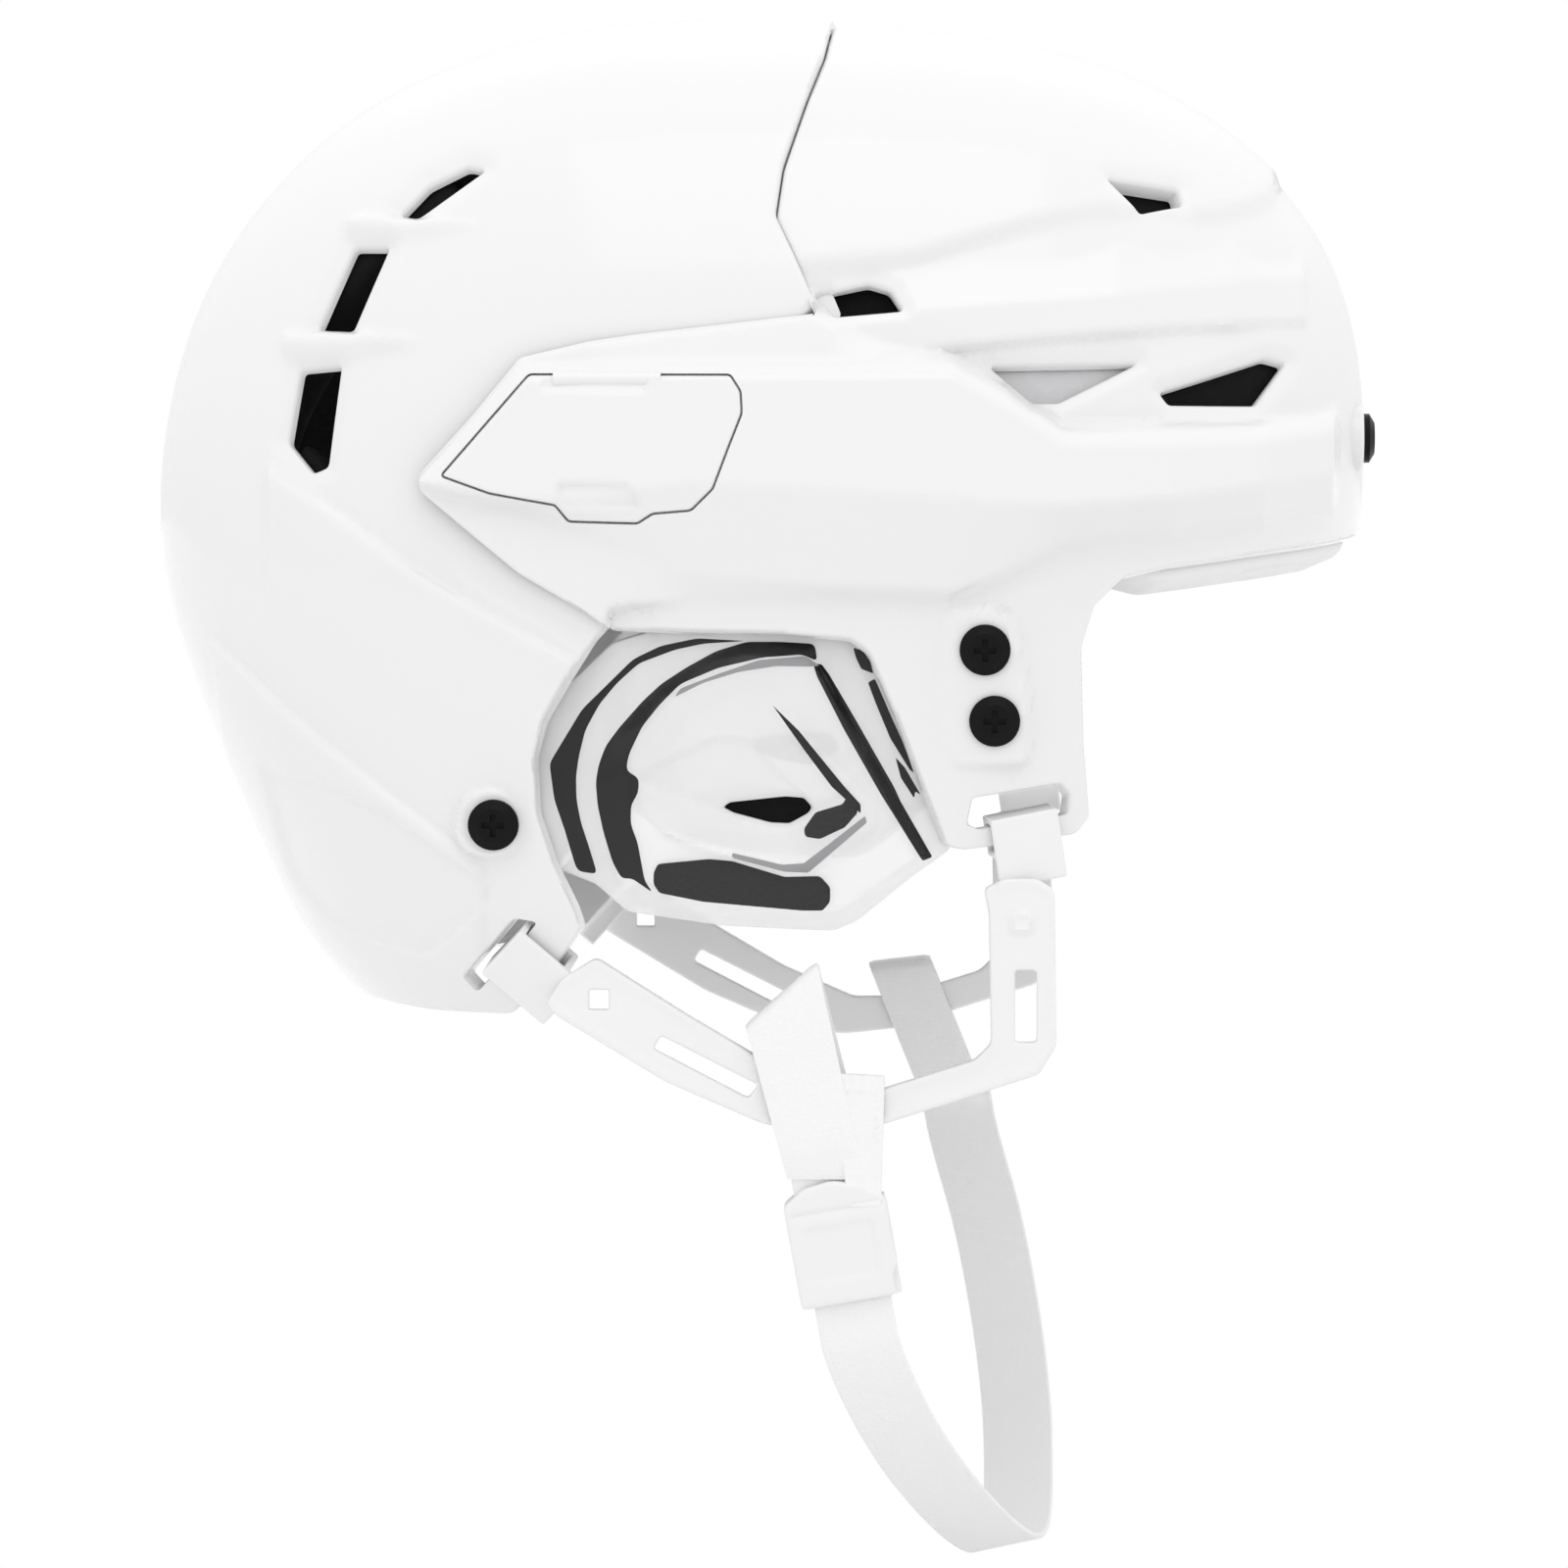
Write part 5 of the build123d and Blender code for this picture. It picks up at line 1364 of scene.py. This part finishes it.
tab = sheet(
    "stitched_tab", rounded(seen(TAB, TAB_OUT), 0.5, step=0.4), [],
    lambda xz, drop: off_side(xz, TAB_OUT + STITCHES.sample(stitch_rise, xz) - drop),
    lambda xz, drop: off_side(xz, TAB_IN), spacing=0.45, edge=0.4, materials=[weave], flip=True,
)
strap = joined(strap, near_end, far_end, tab)
dress(strap, "chin_strap", "webbing_white", "chin_strap")

# Slide adjuster
ADJUSTER = [
    (-0.500, -0.500), (-0.500, 0.360), (-0.280, 0.470), (0.000, 0.500), (0.280, 0.440), (0.500, 0.300),
    (0.500, -0.260), (0.440, -0.330), (0.440, -0.500),
]
ADJUSTER_SIZE = np.array([23.0, 28.0])
ADJUSTER_DEPTH = 6.4
ADJUSTER_MIDDLE = 0.44
ADJUSTER_PANEL = [(-0.36, -0.30), (0.34, -0.30), (0.34, 0.14), (-0.36, 0.14)]
ADJUSTER_RIDGE = [(-0.46, 0.24), (0.46, 0.24), (0.46, 0.28), (-0.46, 0.28)]
PANEL_SINK, RIDGE_SINK, PLATE_BLUR = 0.4, 0.5, 0.3
SLOT_ROOM = 0.5
BAR_IN, BAR_OUT, BAR_LOW, BAR_HIGH = 9.3, 11.4, -13.9, 9.0
BAR_LAP = 0.1
start, end = Vector(STRAP_ROUTE[0]), Vector(STRAP_ROUTE[1])
run = (end - start).normalized()
width = across(run, Vector((1, 0, WEBBING_LEAN)))
outward = run.cross(width)
if outward.y > 0:
    outward = -outward
plate_axes = (start + (end - start) * ADJUSTER_MIDDLE, width, outward.cross(width), outward)
plate = Relief((-13, -16), (13, 16), step=0.15)
panel_loop = rounded(np.array(ADJUSTER_PANEL) * ADJUSTER_SIZE, 1.5, step=0.3)
ridge_loop = np.array(ADJUSTER_RIDGE) * ADJUSTER_SIZE
plate_rise = -PANEL_SINK * plate.mask(panel_loop) - RIDGE_SINK * plate.mask(ridge_loop)
plate_rise = plate.blur(plate_rise, PLATE_BLUR)
adjuster_rim = rounded(np.array(ADJUSTER) * ADJUSTER_SIZE, 1.6, step=0.4)
half_depth = ADJUSTER_DEPTH / 2
slot_half = WEBBING_THICK / 2 + SLOT_ROOM


def adjuster_part(name, rim, top, bottom, spacing, edge):
    """Sheet across the webbing, from the heights of its two faces."""
    return sheet(
        name, rim, [], lambda flat, drop: in_plane(flat, top(flat, drop), *plate_axes),
        lambda flat, drop: in_plane(flat, bottom(flat, drop), *plate_axes), spacing, edge,
        materials=[satin],
    )


adjuster = adjuster_part(
    "adjuster_plate", adjuster_rim, lambda flat, drop: half_depth - drop + plate.sample(plate_rise, flat),
    lambda flat, drop: slot_half, spacing=0.9, edge=0.9,
)
parts = [adjuster_part(
    "adjuster_back", adjuster_rim, lambda flat, drop: -slot_half,
    lambda flat, drop: drop - half_depth, spacing=0.9, edge=0.9,
)]
for sign in (-1, 1):
    low, high = [[(sign * x, z) for x in (BAR_IN, BAR_OUT)] for z in (BAR_LOW, BAR_HIGH)]
    parts.append(adjuster_part(
        "adjuster_bar", rounded((low + high[::-1])[::sign], 0.4, step=0.4),
        lambda flat, drop: slot_half + BAR_LAP,
        lambda flat, drop: -slot_half - BAR_LAP, spacing=1.2, edge=0.3,
    ))
adjuster = joined(adjuster, *parts)
dress(adjuster, "adjuster", "loop_white", "strap_adjuster")

# Fasteners keep their CAD meshes
SCREW_BEVEL, BEVEL_FROM = 0.5, 20
FASTENERS = [place + kind for kind in ("_screws", "_nuts") for place in ("temple", "brow", "nape")]
for name in [*FASTENERS, "lever_pins"]:
    screws = name.endswith("screws")
    nodes[name].data.materials.clear()
    nodes[name].data.materials.append(black if screws else steel)
    if screws:
        eased = nodes[name].modifiers.new("eased_edges", "BEVEL")
        eased.width, eased.segments = SCREW_BEVEL * MM, BEVEL_STEPS
        eased.angle_limit = math.radians(BEVEL_FROM)

# Camera, light and floor, with places and sizes in metres
SENSOR = 36
SKY = ((0.42, 0.84), (0.85, 1.22))
LIGHT_PLACE, LIGHT_AIM, LIGHT_SIZE, LIGHT_POWER = (0.1, -0.8, 1.5), (0, 0, 0.05), 1.0, 1.5
SPAN, LEVEL = 6.0, -0.2
FLOOR_SHADE = 0.9
scene = bpy.context.scene
scene.view_settings.view_transform = "Standard"
camera = placed("camera", bpy.data.cameras.new("camera"))
camera.location = Vector(EYE) * MM
camera.rotation_mode = "QUATERNION"
camera.rotation_quaternion = Vector(FORWARD).to_track_quat("-Z", "Y")
camera.data.sensor_width = SENSOR
camera.data.lens = SENSOR * DISTANCE / MM_PER_POINT / PICTURE
camera.data.clip_end = 50
scene.camera = camera

world = bpy.data.worlds.new("studio")
scene.world = world
world.use_nodes = True
tree = world.node_tree
sky = node(tree, "ValToRGB")
for stop, (place, level) in zip(sky.color_ramp.elements, SKY):
    stop.position = place
    stop.color = (level, level, level, 1)
split = node(tree, "SeparateXYZ")
height = node(tree, "MapRange", From_Min=-1, From_Max=1)
choose = node(tree, "Mix")
choose.data_type = "RGBA"
choose.inputs["B"].default_value = (1, 1, 1, 1)
link(
    tree, (node(tree, "TexCoord").outputs["Generated"], split.inputs[0]),
    (split.outputs["Z"], height.inputs["Value"]), (height.outputs[0], sky.inputs[0]),
    (node(tree, "LightPath").outputs["Is Camera Ray"], choose.inputs["Factor"]),
    (sky.outputs[0], choose.inputs["A"]),
    (choose.outputs["Result"], tree.nodes["Background"].inputs["Color"]),
)

light = bpy.data.lights.new("top_light", "AREA")
light.energy, light.size = LIGHT_POWER, LIGHT_SIZE
lamp = placed("top_light", light)
lamp.location = LIGHT_PLACE
lamp.rotation_mode = "QUATERNION"
lamp.rotation_quaternion = (Vector(LIGHT_AIM) - Vector(LIGHT_PLACE)).to_track_quat("-Z", "Y")

corners = [(i * SPAN, j * SPAN, LEVEL) for i, j in ((-1, -1), (1, -1), (1, 1), (-1, 1))]
floor_mesh = bpy.data.meshes.new("floor")
floor_mesh.from_pydata(corners, [], [(0, 1, 2, 3)])
floor_material = principled("floor", (FLOOR_SHADE,) * 3, 0.5)
tree = floor_material.node_tree
path = node(tree, "LightPath")
either = node(tree, "Math")
either.operation = "MAXIMUM"
mix = node(tree, "MixShader")
link(
    tree, (path.outputs["Is Camera Ray"], either.inputs[0]),
    (path.outputs["Is Transmission Ray"], either.inputs[1]),
    (either.outputs[0], mix.inputs[0]), (tree.nodes["Principled BSDF"].outputs[0], mix.inputs[1]),
    (node(tree, "Emission").outputs[0], mix.inputs[2]),
    (mix.outputs[0], tree.nodes["Material Output"].inputs["Surface"]),
)
floor_mesh.materials.append(floor_material)
floor = placed("floor", floor_mesh)
